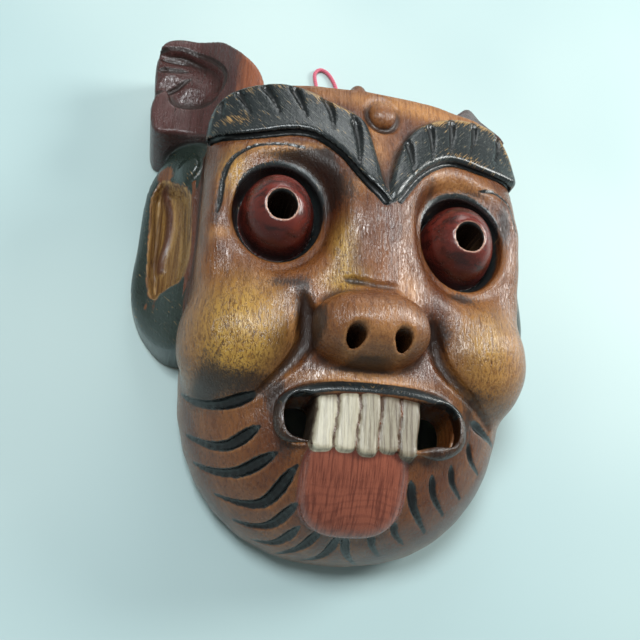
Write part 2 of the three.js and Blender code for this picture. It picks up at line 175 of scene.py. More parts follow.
def plan_distance(loop: Array, x: Array, y: Array) -> Array:
    """Distances in plan to a closed outline.

    Args:
        loop: The outline's points, one to a row.
        x: Places along X.
        y: Places along Y.

    Returns:
        Distances, negative inside the outline.
    """
    nearest = np.full(np.broadcast(x, y).shape, 1e9)
    inside = np.zeros(nearest.shape, bool)
    for a, b in zip(loop, np.roll(loop, -1, axis=0)):
        nearest = np.minimum(nearest, step_gap(a, b, x, y))
        if a[1] != b[1]:
            crossing = a[0] + (y - a[1]) * (b[0] - a[0]) / (b[1] - a[1])
            inside ^= ((a[1] <= y) != (b[1] <= y)) & (x < crossing)
    return np.where(inside, -1, 1) * np.sqrt(nearest)


def line_distance(line: Array, x: Array, y: Array) -> Array:
    """Distances in plan to an open line."""
    nearest = np.full(np.broadcast(x, y).shape, 1e9)
    for a, b in zip(line[:-1], line[1:]):
        nearest = np.minimum(nearest, step_gap(a, b, x, y))
    return np.sqrt(nearest)


def settle(points: Array, form: Form, passes: int = 5) -> Array:
    """Brings points onto the surface of a form.

    Args:
        points: Points near the surface.
        form: The form's distances.
        passes: How often each point steps towards the surface.

    Returns:
        The points on the surface.
    """
    placed = np.array(points, float)
    h = 0.4
    for _ in range(passes):
        x, y, z = placed.T
        value = form(x, y, z)
        slope = np.stack([
            form(x + h, y, z) - form(x - h, y, z),
            form(x, y + h, z) - form(x, y - h, z),
            form(x, y, z + h) - form(x, y, z - h),
        ], axis=1) / (2 * h)
        placed -= slope * (value / np.maximum((slope**2).sum(1), 0.05))[:, None] * 0.9
    return placed


class Taper(Enum):
    """Which ends of a gouge stroke run out to nothing."""

    BOTH = "both"
    NONE = "none"


@dataclass(frozen=True)
class Stroke:
    """One pass of a gouge over the wood, in drawing millimetres."""

    points: Tuple[Point, ...]
    radius: float
    taper: Taper = Taper.BOTH
    least: float = 0.08
    run_in: float = 0.2
    run_out: float = 0.7

    def track(self, form: Form) -> Tuple[Array, Array]:
        """Lays the stroke on a form.

        Args:
            form: The surface that the gouge runs over.

        Returns:
            The line of the gouge and its radius at each point.
        """
        line = settle(through(self.points, 6), form)
        t = np.linspace(0, 1, len(line))
        swell = np.ones_like(t)
        if self.taper is Taper.BOTH:
            swell = np.clip(t / self.run_in, 0, 1) ** 0.6 * np.clip((1 - t) / self.run_out, 0, 1) ** 0.8
        return line, self.radius * (self.least + (1 - self.least) * swell)


def track_distance(line: Array, radii: Array, x: Array, y: Array, z: Array) -> Array:
    """Distances to a round cutter moved along a line, with its own radius at each point."""
    nearest = np.full(np.broadcast(x, y, z).shape, 1e6)
    for a, b, ra, rb in zip(line[:-1], line[1:], radii[:-1], radii[1:]):
        e = b - a
        t = np.clip(((x - a[0]) * e[0] + (y - a[1]) * e[1] + (z - a[2]) * e[2]) / (e @ e + 1e-9), 0, 1)
        gap = np.sqrt((x - a[0] - e[0] * t) ** 2 + (y - a[1] - e[1] * t) ** 2 + (z - a[2] - e[2] * t) ** 2)
        nearest = np.minimum(nearest, gap - (ra + (rb - ra) * t))
    return nearest


class WoodGrid:
    """A block of wood as distances on a grid of points, negative inside."""

    def __init__(self, low: Point, high: Point, step: float) -> None:
        """Starts with no wood between two corners.

        Args:
            low: Lowest corner in drawing millimetres.
            high: Highest corner.
            step: Distance from one grid point to the next.
        """
        self.step = step
        self.axes = [np.arange(a, b + step, step) for a, b in zip(low, high)]
        self.values = np.full([len(axis) for axis in self.axes], FAR, np.float32)

    def window(self, low: Sequence[float], high: Sequence[float]) -> Tuple[tuple, Array, Array, Array]:
        """The part of the grid between two corners.

        Args:
            low: Lowest corner.
            high: Highest corner.

        Returns:
            The grid's slices, and the places along X, Y and Z shaped to spread over each other.
        """
        cuts = []
        places = []
        for i in range(3):
            start = int(np.searchsorted(self.axes[i], low[i]))
            end = max(int(np.searchsorted(self.axes[i], high[i])), start)
            cuts.append(slice(start, end))
            shape = [1, 1, 1]
            shape[i] = -1
            places.append(self.axes[i][start:end].reshape(shape))
        return tuple(cuts), places[0], places[1], places[2]

    def join(self, form: Form, low: Sequence[float], high: Sequence[float], reach: float = 0.0) -> None:
        """Adds wood of a form, with a fillet of that reach."""
        cuts, x, y, z = self.window(low, high)
        self.values[cuts] = smooth_min(self.values[cuts], form(x, y, z), reach)

    def cut(self, form: Form, low: Sequence[float], high: Sequence[float], reach: float = 0.0) -> None:
        """Takes wood away inside a form, with an edge rounded by that reach."""
        cuts, x, y, z = self.window(low, high)
        self.values[cuts] = smooth_max(self.values[cuts], -form(x, y, z), reach)

    def gouge(self, line: Array, radii: Array, reach: float = 0.8) -> None:
        """Runs a round cutter along a line.

        Args:
            line: The cutter's line.
            radii: Its radius at each point of the line.
            reach: How far the cut's edges are rounded.
        """
        for i in range(len(line) - 1):
            pair, sizes = line[i:i + 2], radii[i:i + 2]
            room = float(sizes.max()) + reach + 3 * self.step
            low, high = pair.min(0) - room, pair.max(0) + room
            self.cut(lambda x, y, z: track_distance(pair, sizes, x, y, z), low, high, reach)

    def hollowness(self, radius: float) -> Array:
        """How much of the neighbourhood of each grid point is wood.

        Args:
            radius: Half width of the neighbourhood.

        Returns:
            0 in the open, 0.5 on a flat face, more in a recess.
        """
        wood = np.clip(0.5 - self.values / (2 * self.step), 0, 1).astype(np.float32)
        reach = max(1, int(round(radius / self.step)))
        for axis in range(3):
            padded = np.concatenate([
                np.repeat(wood.take([0], axis), reach + 1, axis), wood,
                np.repeat(wood.take([-1], axis), reach, axis),
            ], axis)
            total = np.cumsum(padded, axis, dtype=np.float64)
            span = 2 * reach + 1
            upper = total.take(range(span, total.shape[axis]), axis)
            wood = ((upper - total.take(range(0, total.shape[axis] - span), axis)) / span).astype(np.float32)
        return wood

    def sample(self, field_values: Array, points: Array) -> Array:
        """Reads values of the grid at points between its own.

        Args:
            field_values: One value for each grid point.
            points: Where to read them.

        Returns:
            One value for each point.
        """
        scaled = [(points[:, i] - self.axes[i][0]) / self.step for i in range(3)]
        base = [np.clip(s.astype(int), 0, field_values.shape[i] - 2) for i, s in enumerate(scaled)]
        part = [np.clip(scaled[i] - base[i], 0, 1) for i in range(3)]
        total = np.zeros(len(points))
        for corner in range(8):
            bits = [(corner >> i) & 1 for i in range(3)]
            weight = np.ones(len(points))
            for i in range(3):
                weight = weight * (part[i] if bits[i] else 1 - part[i])
            total += weight * field_values[base[0] + bits[0], base[1] + bits[1], base[2] + bits[2]]
        return total

    def skin(self) -> Tuple[Array, Array]:
        """The surface of the wood, with one point in each grid cell that the surface crosses.

        Returns:
            The points in drawing millimetres and the four-sided faces between them, facing outwards.
        """
        values = self.values
        wood = values < 0
        low = slice(0, -1)
        high = slice(1, None)
        count = np.zeros([n - 1 for n in values.shape], np.int8)
        for corner in range(8):
            count += wood[tuple(high if (corner >> i) & 1 else low for i in range(3))]
        cells = np.argwhere((count > 0) & (count < 8))
        number = np.full(count.shape, -1, np.int32)
        number[tuple(cells.T)] = np.arange(len(cells))
        place = np.zeros((len(cells), 3))
        crossings = np.zeros(len(cells))
        for axis in range(3):
            others = [i for i in range(3) if i != axis]
            for pair in range(4):
                start = np.zeros(3, int)
                start[others[0]] = pair & 1
                start[others[1]] = pair >> 1
                end = start.copy()
                end[axis] = 1
                a = values[tuple((cells + start).T)]
                b = values[tuple((cells + end).T)]
                crossed = (a < 0) != (b < 0)
                t = np.where(crossed, a / np.where(a == b, 1, a - b), 0)
                spot = start + t[:, None] * (end - start)
                place += np.where(crossed[:, None], spot, 0)
                crossings += crossed
        place = cells + place / crossings[:, None]
        points = place * self.step + np.array([axis[0] for axis in self.axes])
        faces = []
        for axis in range(3):
            u, v = [(1, 2), (2, 0), (0, 1)][axis]
            first = [slice(None)] * 3
            second = [slice(None)] * 3
            first[axis] = low
            second[axis] = high
            a, b = wood[tuple(first)], wood[tuple(second)]
            spots = np.argwhere(a != b)
            spots = spots[(spots[:, u] > 0) & (spots[:, v] > 0)]
            spots = spots[(spots[:, u] < count.shape[u]) & (spots[:, v] < count.shape[v])]
            outward = a[tuple(spots.T)]
            ring = []
            for du, dv in ((1, 1), (0, 1), (0, 0), (1, 0)):
                shift = np.zeros(3, int)
                shift[u] = du
                shift[v] = dv
                ring.append(number[tuple((spots - shift).T)])
            quads = np.stack(ring, axis=1)
            quads[~outward] = quads[~outward][:, ::-1]
            faces.append(quads)
        return points, np.concatenate(faces)


@dataclass
class Head:
    """The head: a jaw like half an egg, a forehead block, cheeks, eye basins, bridge and snout."""

    jaw_radii: Point = (75.0, 79.0, 60.0)
    jaw_middle: Plan = (2.0, 16.0)
    jaw_power: float = 2.1
    jaw_side_power: float = 2.3
    half_width: float = 73.0
    crown_y: float = 127.0
    corner: float = 20.0
    forehead_height: float = 82.0
    side_drop: float = 16.0
    ridge: Point = (66.0, 9.0, 28.0)
    cheek: Point = (47.0, 9.0, 46.0)
    cheek_radii: Point = (31.0, 32.0, 34.0)
    basin: Point = (42.0, 58.0, 93.0)
    basin_radii: Point = (27.0, 33.0, 29.0)
    right_eye_drop: float = 3.5
    snout: Point = (-3.0, 5.8, 80.0)
    snout_radii: Point = (24.0, 14.2, 22.0)
    bridge: Point = (13.0, 18.0, 60.0)
    bridge_top: float = 90.0
    nostril: Plan = (9.2, -2.2)
    nostril_bore: float = 7.0
    nostril_flare: float = 0.12
    flare_from: float = 96.0

    def eye_drop(self, x: Array) -> Array:
        """How much lower the eye on that side sits."""
        return np.where(x > 0, self.right_eye_drop, 0.0)

    def forehead_top(self, x: Array, y: Array) -> Array:
        """Height of the forehead over a place in plan."""
        ridge_y, rise, spread = self.ridge
        swell = rise * np.exp(-(((y - ridge_y) / spread) ** 2))
        return self.forehead_height + swell - self.side_drop * (np.abs(x) / self.half_width) ** 2.2

    def body(self, x: Array, y: Array, z: Array) -> Array:
        """Distances to the jaw and forehead alone."""
        ax = np.abs(x)
        rx, ry, rz = self.jaw_radii
        egg = (ax / rx) ** self.jaw_side_power + (np.abs(y - self.jaw_middle[0]) / ry) ** self.jaw_power
        egg = egg + (np.abs(z - self.jaw_middle[1]) / rz) ** self.jaw_power
        jaw = (egg ** (1 / self.jaw_power) - 1) * rz
        qx = ax - self.half_width + self.corner
        qy = np.abs(y - 70) - (self.crown_y - 70) + self.corner
        outside = np.hypot(np.maximum(qx, 0), np.maximum(qy, 0))
        plan = outside + np.minimum(np.maximum(qx, qy), 0) - self.corner
        edge = 9 * (1 - ramp(90, 122, y)) + 2
        top = (z - self.forehead_top(x, y)) * 0.9
        near = np.maximum(edge - np.abs(plan - top), 0) / edge
        block = np.maximum(plan, top) + near * near * edge / 4
        return smooth_min(jaw, block, 14)

    def cheeks(self, x: Array, y: Array, z: Array) -> Array:
        """Distances to the two cheeks."""
        return oval(np.abs(x) - self.cheek[0], y - self.cheek[1], z - self.cheek[2], self.cheek_radii)

    def basins(self, x: Array, y: Array, z: Array) -> Array:
        """Distances to the two hollows that the eyes lie in."""
        bx, by, bz = self.basin
        return oval(np.abs(x) - bx, y - by + self.eye_drop(x), z - bz, self.basin_radii)

    def nose_bridge(self, x: Array, y: Array, z: Array) -> Array:
        """Distances to the bridge of the nose."""
        radius, start, end = self.bridge
        along = np.clip(y, start, end)
        return np.sqrt(x**2 + ((y - along) * 0.9) ** 2 + (z - self.bridge_top + radius) ** 2) - radius

    def nose(self, x: Array, y: Array, z: Array) -> Array:
        """Distances to the snout."""
        sx, sy, sz = self.snout
        return oval(x - sx, y - sy, z - sz, self.snout_radii, 2.4)

    def __call__(self, x: Array, y: Array, z: Array) -> Array:
        """Distances to the whole head."""
        form = smooth_min(self.body(x, y, z), self.cheeks(x, y, z), 5)
        form = smooth_max(form, -self.basins(x, y, z), 6)
        form = smooth_min(form, self.nose_bridge(x, y, z), 10)
        return smooth_min(form, self.nose(x, y, z), 3)


@dataclass
class Eyes:
    """Two bulging eyeballs, each in a groove, with a hole to look through."""

    place: Point = (41.0, 60.0, 68.0)
    radii: Point = (16.2, 19.0, 20.0)
    groove: float = 2.4
    rim: float = 1.5
    pupil: Plan = (41.0, 57.0)
    pupil_bore: float = 12.4
    pupil_flare: float = 0.35
    flare_from: float = 85.4

    def centre(self, side: int, head: Head) -> Point:
        """Middle of the eyeball on one side, -1 left or 1 right."""
        return (side * self.place[0], self.place[1] - float(head.eye_drop(np.array(side))), self.place[2])

    def ball(self, side: int, head: Head) -> Form:
        """The form of one eyeball."""
        cx, cy, cz = self.centre(side, head)
        return lambda x, y, z: oval(x - cx, y - cy, z - cz, self.radii)

    def carve(self, wood: WoodGrid, head: Head) -> None:
        """Cuts the sockets and leaves the balls standing in them."""
        for side in (-1, 1):
            cx, cy, cz = self.centre(side, head)
            rx, ry, rz = self.radii
            turns = np.linspace(0, 2 * np.pi, 41)
            ring = np.stack([
                cx + (rx + 5.2) * np.cos(turns), cy + (ry + 5.2) * np.sin(turns), np.full_like(turns, 74.0),
            ], axis=1)
            ring = settle(ring, head)
            low, high = ring.min(0) - 6, ring.max(0) + 6
            radii = np.full(len(ring), self.rim)
            wood.join(lambda x, y, z: track_distance(ring, radii, x, y, z), low, high, 3.5)
            low = (cx - rx - 8, cy - ry - 8, cz - 30)
            high = (cx + rx + 8, cy + ry + 8, cz + 30)
            socket = (rx + self.groove + 0.6, ry + self.groove + 0.6, rz - 6.5)
            wood.cut(lambda x, y, z: oval(x - cx, y - cy, z - cz - 4, socket), low, high, 1.6)
            wood.join(self.ball(side, head), low, high, 0.6)

    def bore(self, wood: WoodGrid, head: Head) -> None:
        """Drills the pupils, their edge eased."""
        for side in (-1, 1):
            px = side * self.pupil[0]
            py = self.pupil[1] - float(head.eye_drop(np.array(side)))
            radius = self.pupil_bore / 2

            def drill(x: Array, y: Array, z: Array) -> Array:
                """Distances to the drill, widening at the surface."""
                flare = self.pupil_flare * np.maximum(z - self.flare_from, 0)
                return np.hypot(x - px, y - py) - radius - flare

            wood.cut(drill, (px - 12, py - 12, 10), (px + 12, py + 12, 96), 0.8)


@dataclass
class Brows:
    """Two raised black brows that meet over the nose, with feathered grooves."""

    rise: float = 3.6
    sunk: float = 0.2
    edge: float = 2.6
    foot: float = 62.0
    left: Tuple[Plan, ...] = (
        (-73.5, 98.5), (-73.6, 108), (-71, 116), (-65, 122), (-54, 125.2), (-43, 125.6), (-35.6, 123.8),
        (-25.7, 119.2), (-15.3, 113.4), (-8.5, 109.8), (-4.6, 105.4), (-2.6, 98), (-0.6, 82.3), (0.9, 70),
        (2.6, 65.4), (4.2, 61), (1.5, 60), (-6.7, 68.7), (-16.4, 84.3), (-26.7, 94.8), (-35.2, 97.6),
        (-52.2, 95.6), (-62.5, 95.4),
    )
    right: Tuple[Plan, ...] = (
        (2.6, 64.2), (3.5, 71.6), (8.6, 89.5), (13, 99.7), (20, 109.1), (26.4, 114.1), (36.3, 119.3),
        (47.7, 122.6), (58.6, 123.6), (66.5, 120.6), (71.6, 113), (73.6, 103), (73.2, 95), (61.3, 93.2),
        (49.5, 92.8), (41.3, 93.2), (33.2, 92), (26, 87.5), (19.3, 80.9), (12.2, 71.2), (6.9, 62.6),
        (4.2, 60.4),
    )
    left_grooves: Tuple[Tuple[Plan, ...], ...] = (
        ((-69.4, 117), (-68.2, 107)), ((-63.5, 123), (-59.4, 115.9), (-56.1, 107.8)),
        ((-52.6, 125.5), (-47.3, 117.4), (-43.6, 107.6)), ((-39.2, 124.6), (-35, 115.1), (-31.9, 105)),
        ((-25.2, 119.6), (-21.2, 110.3), (-20, 98.5)), ((-10.6, 108), (-9.1, 94.7), (-9.8, 77.7)),
    )
    right_grooves: Tuple[Tuple[Plan, ...], ...] = (
        ((13.4, 100), (14.2, 89.1), (13.8, 77.7)), ((25.4, 114), (26, 102.3), (24.1, 87.5)),
        ((37.5, 119.5), (37.1, 109.3), (34.2, 97.5)), ((50.4, 123), (49.7, 112.6), (45.7, 101)),
        ((64.5, 121), (64.6, 115.3), (60.4, 103)),
    )
    left_foot: Tuple[Point, ...] = (
        (-73, 98.6, 64), (-70.9, 97.6, 67), (-61.6, 95.6, 73.6), (-51.8, 95.8, 77), (-35, 97.6, 81.1),
        (-26.4, 95.4, 82.8), (-16, 85.4, 86.2), (-6.3, 69.6, 91.2), (1.2, 60.6, 92.9),
    )
    right_foot: Tuple[Point, ...] = (
        (7.6, 62.2, 92.3), (20, 80.6, 87.1), (34, 91.6, 81.9), (50, 92.6, 77.2), (62, 93.0, 72.8),
        (73, 95, 66),
    )
    groove_radius: float = 1.8

    def outlines(self) -> Tuple[Array, Array]:
        """The two outlines in plan."""
        return through(self.left, 4, True), through(self.right, 4, True)

    def top(self, head: Head, x: Array, y: Array, inward: Array) -> Array:
        """Height of the brows, rounded near their outline.

        Args:
            head: The head that they stand on.
            x: Places along X.
            y: Places along Y.
            inward: Distance in from the outline.

        Returns:
            Heights in drawing millimetres.
        """
        return head.forehead_top(x, y) + self.rise * quarter_round(inward, self.edge) - self.sunk

    def carve(self, wood: WoodGrid, head: Head) -> None:
        """Raises the two brows."""
        for loop in self.outlines():
            low = (loop[:, 0].min() - 4, loop[:, 1].min() - 4, self.foot - 6)
            high = (loop[:, 0].max() + 4, loop[:, 1].max() + 4, 100)

            def form(x: Array, y: Array, z: Array) -> Array:
                """Distances to one brow."""
                plan = plan_distance(loop, x, y)
                return np.maximum(np.maximum(plan, z - self.top(head, x, y, -plan)), self.foot - z)

            wood.join(form, low, high, 0.8)

    def grooves(self, head: Head) -> List[Tuple[Array, Array]]:
        """The tracks of the grooves across the brows."""
        tracks = []
        for group in (self.left_grooves, self.right_grooves):
            for points in group:
                line = through(points, 6)
                height = head.forehead_top(line[:, 0], line[:, 1]) + self.rise - 0.3
                t = np.linspace(0, 1, len(line))
                swell = np.clip(t / 0.15, 0.5, 1) * np.clip((1 - t) / 0.75, 0.15, 1) ** 0.7
                tracks.append((np.column_stack([line, height]), self.groove_radius * swell))
        return tracks

    def feet(self, head: Head) -> List[Tuple[Array, Array]]:
        """The tracks of the cuts along the lower edges."""
        return [
            Stroke(self.left_foot, 1.5, Taper.NONE).track(head),
            Stroke(self.right_foot, 0.9, Taper.NONE).track(head),
        ]


@dataclass
class Mouth:
    """A wide grin: lips, a recess, five teeth, a hole at each end and a tongue hanging out."""

    middle: Point = (1.0, -28.5, 73.0)
    half_width: float = 35.5
    half_height: float = 11.5
    power: float = 2.8
    lip: float = 4.0
    sag: float = 3.0
    floor: float = 58.0
    hole: Plan = (28.6, -28.0)
    hole_bore: float = 14.0
    teeth: int = 5
    teeth_middle: float = -1.3
    teeth_half_width: float = 21.5
    teeth_top: float = -16.0
    teeth_bottom: float = -41.2
    teeth_front: float = 75.8
    teeth_back: float = 50.0
    teeth_sway: float = 0.8
    tongue: Point = (-3.7, -50.0, 57.5)
    tongue_radii: Point = (21.3, 22.0, 9.0)
    tongue_lean: float = 33.0
    tongue_power: float = 2.8

    def ring(self, count: int = 72) -> Array:
        """The line of the lips, a squarish oval that sags at its ends."""
        turn = np.linspace(0, 2 * np.pi, count, endpoint=False)
        c, s = np.cos(turn), np.sin(turn)
        reach = (np.abs(c) ** self.power + np.abs(s) ** self.power) ** (-1 / self.power)
        x = self.half_width * reach * c
        y = self.middle[1] + self.half_height * reach * s
        z = self.middle[2] - self.sag * (x / self.half_width) ** 2
        return np.column_stack([self.middle[0] + x, y, z])

    def lips(self, x: Array, y: Array, z: Array) -> Array:
        """Distances to the lips, which run out where the tongue hangs over them."""
        line = self.ring()
        plan = plan_distance(line[:, :2], x, y)
        away = np.abs(x - self.middle[0]) / self.half_width
        height = z - self.middle[2] + self.sag * np.minimum(away, 1.2) ** 2
        reach = self.tongue_radii[0]
        beside = ramp(reach - 2, reach + 12, np.abs(x - self.tongue[0]))
        full = np.maximum(ramp(self.middle[1] - 3, self.middle[1] + 3, y), beside)
        return np.sqrt(plan**2 + height**2) - self.lip * (0.1 + 0.9 * full)

    def row(self, x: Array, y: Array, z: Array) -> Array:
        """Distances to the row of teeth, one block with a shallow groove between two teeth."""
        across = x - self.teeth_middle + self.teeth_sway * np.sin((y - self.teeth_top) * 0.22)
        width = 2 * self.teeth_half_width / self.teeth
        index = np.clip(np.floor((across + self.teeth_half_width) / width), 0, self.teeth - 1)
        bulge = np.abs(across + self.teeth_half_width - (index + 0.5) * width) / (width / 2)
        foot = self.teeth_bottom + 2.4 * bulge**4 + 0.9 * np.sin(index * 2.3 + 0.6)
        front = self.teeth_front - 2.6 * (across / self.teeth_half_width) ** 2
        front = front - 1.5 * bulge**8 - 0.04 * (self.teeth_top - y) - 0.4 * np.cos(index * 1.9)
        ends = np.maximum(foot - y, y - self.teeth_top)
        sides = np.abs(across) - self.teeth_half_width
        return np.maximum(smooth_max(smooth_max(sides, ends, 1.0), z - front, 1.2), self.teeth_back - z)

    def tongue_form(self, x: Array, y: Array, z: Array) -> Array:
        """Distances to the tongue."""
        lean = math.radians(self.tongue_lean)
        dy, dz = y - self.tongue[1], z - self.tongue[2]
        v = dy * math.cos(lean) + dz * math.sin(lean)
        w = -dy * math.sin(lean) + dz * math.cos(lean)
        return oval(x - self.tongue[0], v, w, self.tongue_radii, self.tongue_power)

    def carve(self, wood: WoodGrid) -> None:
        """Raises the lips, opens the mouth and leaves teeth and tongue."""
        cx, cy, _ = self.middle
        w, h = self.half_width, self.half_height
        wood.join(self.lips, (cx - w - 8, cy - h - 8, 58), (cx + w + 8, cy + h + 8, 84), 1.2)

        def recess(x: Array, y: Array, z: Array) -> Array:
            """Distances to the recess of the mouth."""
            inner = oval(x - cx, y - cy, np.zeros_like(z), (w - 1.6, h - 1.6, 1.0), self.power)
            return np.maximum(inner * (h - 1.6), self.floor - z)

        wood.cut(recess, (cx - w - 4, cy - h - 4, 52), (cx + w + 4, cy + h + 4, 95), 0.8)
        self.bore(wood)
        tx, ty, tz = self.tongue
        wood.join(self.tongue_form, (tx - 28, ty - 32, tz - 24), (tx + 28, ty + 32, tz + 26), 0.8)
        wood.join(
            self.row, (-self.teeth_half_width - 5, self.teeth_bottom - 3, 48),
            (self.teeth_half_width + 5, self.teeth_top + 3, 80), 0.3,
        )

    def bore(self, wood: WoodGrid) -> None:
        """Opens the two ends of the mouth through to the back."""
        radius = self.hole_bore / 2
        for side in (-1, 1):
            hx = self.middle[0] + side * self.hole[0]

            def end_hole(x: Array, y: Array, z: Array) -> Array:
                """Distances to one squarish hole."""
                radii = (radius, radius * 1.25, 1.0)
                return oval(x - hx, y - self.hole[1], np.zeros_like(z), radii, 2.4) * radius

            wood.cut(end_hole, (hx - 12, self.hole[1] - 14, 10), (hx + 12, self.hole[1] + 14, 80), 0.8)


@dataclass
class Ears:
    """Hollowed leaf-shaped ears, swept back beside the head."""

    front: float = 34.0
    swept: float = 21.0
    rim: float = 5.0
    hollow: float = 8.0
    outline: Tuple[Plan, ...] = (
        (-66, 126), (-80, 134), (-91, 122), (-99, 106), (-101, 72), (-101, 42), (-93, 23), (-80, 12),
        (-64, 16),
    )
    floor: Tuple[Plan, ...] = (
        (-92.8, 105.4), (-97.2, 98), (-97.4, 90.9), (-96.4, 75.5), (-95.2, 54), (-92.6, 40.5), (-89.4, 37.2),
        (-86, 40.6), (-78.6, 44), (-75.8, 53.5), (-76.4, 74.4), (-78.8, 93.5), (-86, 100.5),
    )
    lobe: Tuple[Plan, ...] = (
        (-86, 100.2), (-86.8, 109), (-82.4, 113.5), (-76.3, 112.9), (-74, 104.5), (-80.6, 96.8),
    )
    ridge: Tuple[Plan, ...] = ((-91.1, 101.1), (-87.2, 85.2), (-87.2, 71.6), (-89.1, 62.2), (-88.9, 55.6))

    def loops(self) -> Tuple[Array, Array, Array]:
        """Outline, floor and lobe in plan, on the left."""
        return through(self.outline, 6, True), through(self.floor, 4, True), through(self.lobe, 4, True)

    def top(self, x: Array, y: Array, plan: Array) -> Array:
        """Height of the left ear's carved face.

        Args:
            x: Places along X.
            y: Places along Y.
            plan: Distances to the outline, negative inside.

        Returns:
            Heights in drawing millimetres.
        """
        _, floor, lobe = self.loops()
        face = self.front - self.swept * ramp(-70, -102, x)
        face = face - self.rim * (1 - quarter_round(-plan, self.rim))
        face = face - self.hollow * ramp(0.2, 4.2, -plan_distance(floor, x, y))
        face = face + 3.0 * ramp(0.0, 3.4, -plan_distance(lobe, x, y))
        fold = line_distance(through(self.ridge, 5), x, y) / 1.9
        return face + 2.6 * np.exp(-(fold**2))

    def carve(self, wood: WoodGrid) -> None:
        """Joins both ears to the head."""
        outline = self.loops()[0]
        for side in (-1, 1):

            def form(x: Array, y: Array, z: Array) -> Array:
                """Distances to one ear."""
                mirrored = x * -side
                plan = plan_distance(outline, mirrored, y)
                return np.maximum(plan, (z - self.top(mirrored, y, plan)) * 0.8)

            reach = (side * 60, side * 104)
            wood.join(form, (min(reach), 8, -4), (max(reach), 138, 44), 1.2)


@dataclass
class Curls:
    """A rolled lock at each corner of the crown, the right one lower."""

    low: float = 36.0
    high: float = 58.0
    roll: float = 2.0
    depth: float = 5.0
    inward: float = 7.0
    lower: float = 17.0
    slump: float = 11.0
    outline: Tuple[Plan, ...] = (
        (-44, 118), (-47, 136), (-50.8, 149.5), (-57.8, 160.6), (-63.3, 168.5), (-72, 178.5), (-86.7, 182.5),
        (-97.5, 180), (-102, 173), (-102.5, 158), (-101.2, 144), (-102.3, 135), (-98.8, 122), (-84, 122),
        (-62, 116),
    )
    panel: Tuple[Plan, ...] = (
        (-106, 172.8), (-94.7, 174), (-88.6, 174.4), (-78, 168.8), (-69.8, 158.4), (-68, 152.3),
        (-68.8, 146.3), (-70.6, 141), (-75.5, 139.4), (-83.2, 139.8), (-90.2, 140), (-94, 143),
        (-96.6, 148), (-103, 146),
    )
    lines: Tuple[Tuple[Plan, ...], ...] = (
        ((-101.6, 173.4), (-94.7, 174.5), (-88.6, 174.9), (-77.9, 169.4), (-69.5, 158.6), (-67.7, 152.3),
         (-68.4, 146.3), (-70, 142)),
        ((-94, 142.2), (-90.2, 139.2), (-83.2, 138.9), (-75.5, 138.4), (-71, 140)),
        ((-100.8, 169.8), (-93.2, 169.5), (-86, 169.4)),
        ((-101, 162.6), (-94.5, 162), (-86.4, 162.8)),
        ((-101.4, 143.4), (-96.6, 148.4), (-90.5, 152.3), (-84.8, 157.3)),
    )
    line_radii: Tuple[float, ...] = (1.1, 1.4, 1.1, 1.6, 1.2)
    bulb: Plan = (-71.8, 143.6)

    def loops(self) -> Tuple[Array, Array]:
        """Outline and panel in plan, on the left."""
        return through(self.outline, 5, True), through(self.panel, 4, True)

    def top(self, x: Array, y: Array, plan: Array) -> Array:
        """Height of the left curl's carved face."""
        panel = self.loops()[1]
        face = self.low + (self.high - self.low) * ramp(-86, -50, x)
        face = face - self.roll * (1 - quarter_round(-plan, self.roll))
        inside = -plan_distance(panel, x, y)
        face = face - self.depth * ramp(-0.4, 1.6, inside) * (1 - 0.65 * ramp(3, 13, inside))
        knob = np.hypot(x - self.bulb[0], y - self.bulb[1]) / 3.4
        return face + 2.2 * np.exp(-(knob**2))

    def spot(self, side: int, x: Array, y: Array) -> Tuple[Array, Array]:
        """A place of either curl as the same place of the left one."""
        if side < 0:
            return x, y
        return -(x + self.inward), y + self.lower

    def drop(self, side: int, x: Array) -> Array:
        """How much lower the face of the right curl lies towards its outer side."""
        return self.slump * ramp(-72, -98, x) * (side > 0)

    def carve(self, wood: WoodGrid) -> None:
        """Joins both curls to the crown and cuts their lines."""
        outline = self.loops()[0]
        for side in (-1, 1):

            def form(x: Array, y: Array, z: Array) -> Array:
                """Distances to one curl."""
                u, v = self.spot(side, x, y)
                plan = plan_distance(outline, u, v)
                return np.maximum(plan, (z - self.top(u, v, plan) + self.drop(side, u)) * 0.75)

            low, high = ((-107, 112, -4), (-38, 186, 66)) if side < 0 else ((30, 96, -4), (100, 170, 66))
            wood.join(form, low, high, 1.0)
        for line, radii in self.tracks():
            wood.gouge(line, radii, 0.5)

    def tracks(self) -> List[Tuple[Array, Array]]:
        """The cuts in both curls."""
        outline = self.loops()[0]
        made = []
        for side in (-1, 1):
            for points, radius in zip(self.lines, self.line_radii):
                line = through(points, 5)
                plan = plan_distance(outline, line[:, 0], line[:, 1])
                z = self.top(line[:, 0], line[:, 1], plan) - self.drop(side, line[:, 0])
                x, y = line[:, 0], line[:, 1]
                if side > 0:
                    x, y = -x - self.inward, y - self.lower
                t = np.linspace(0, 1, len(line))
                made.append((np.column_stack([x, y, z]), radius * (0.25 + 0.75 * np.sin(np.pi * t) ** 0.5)))
        return made


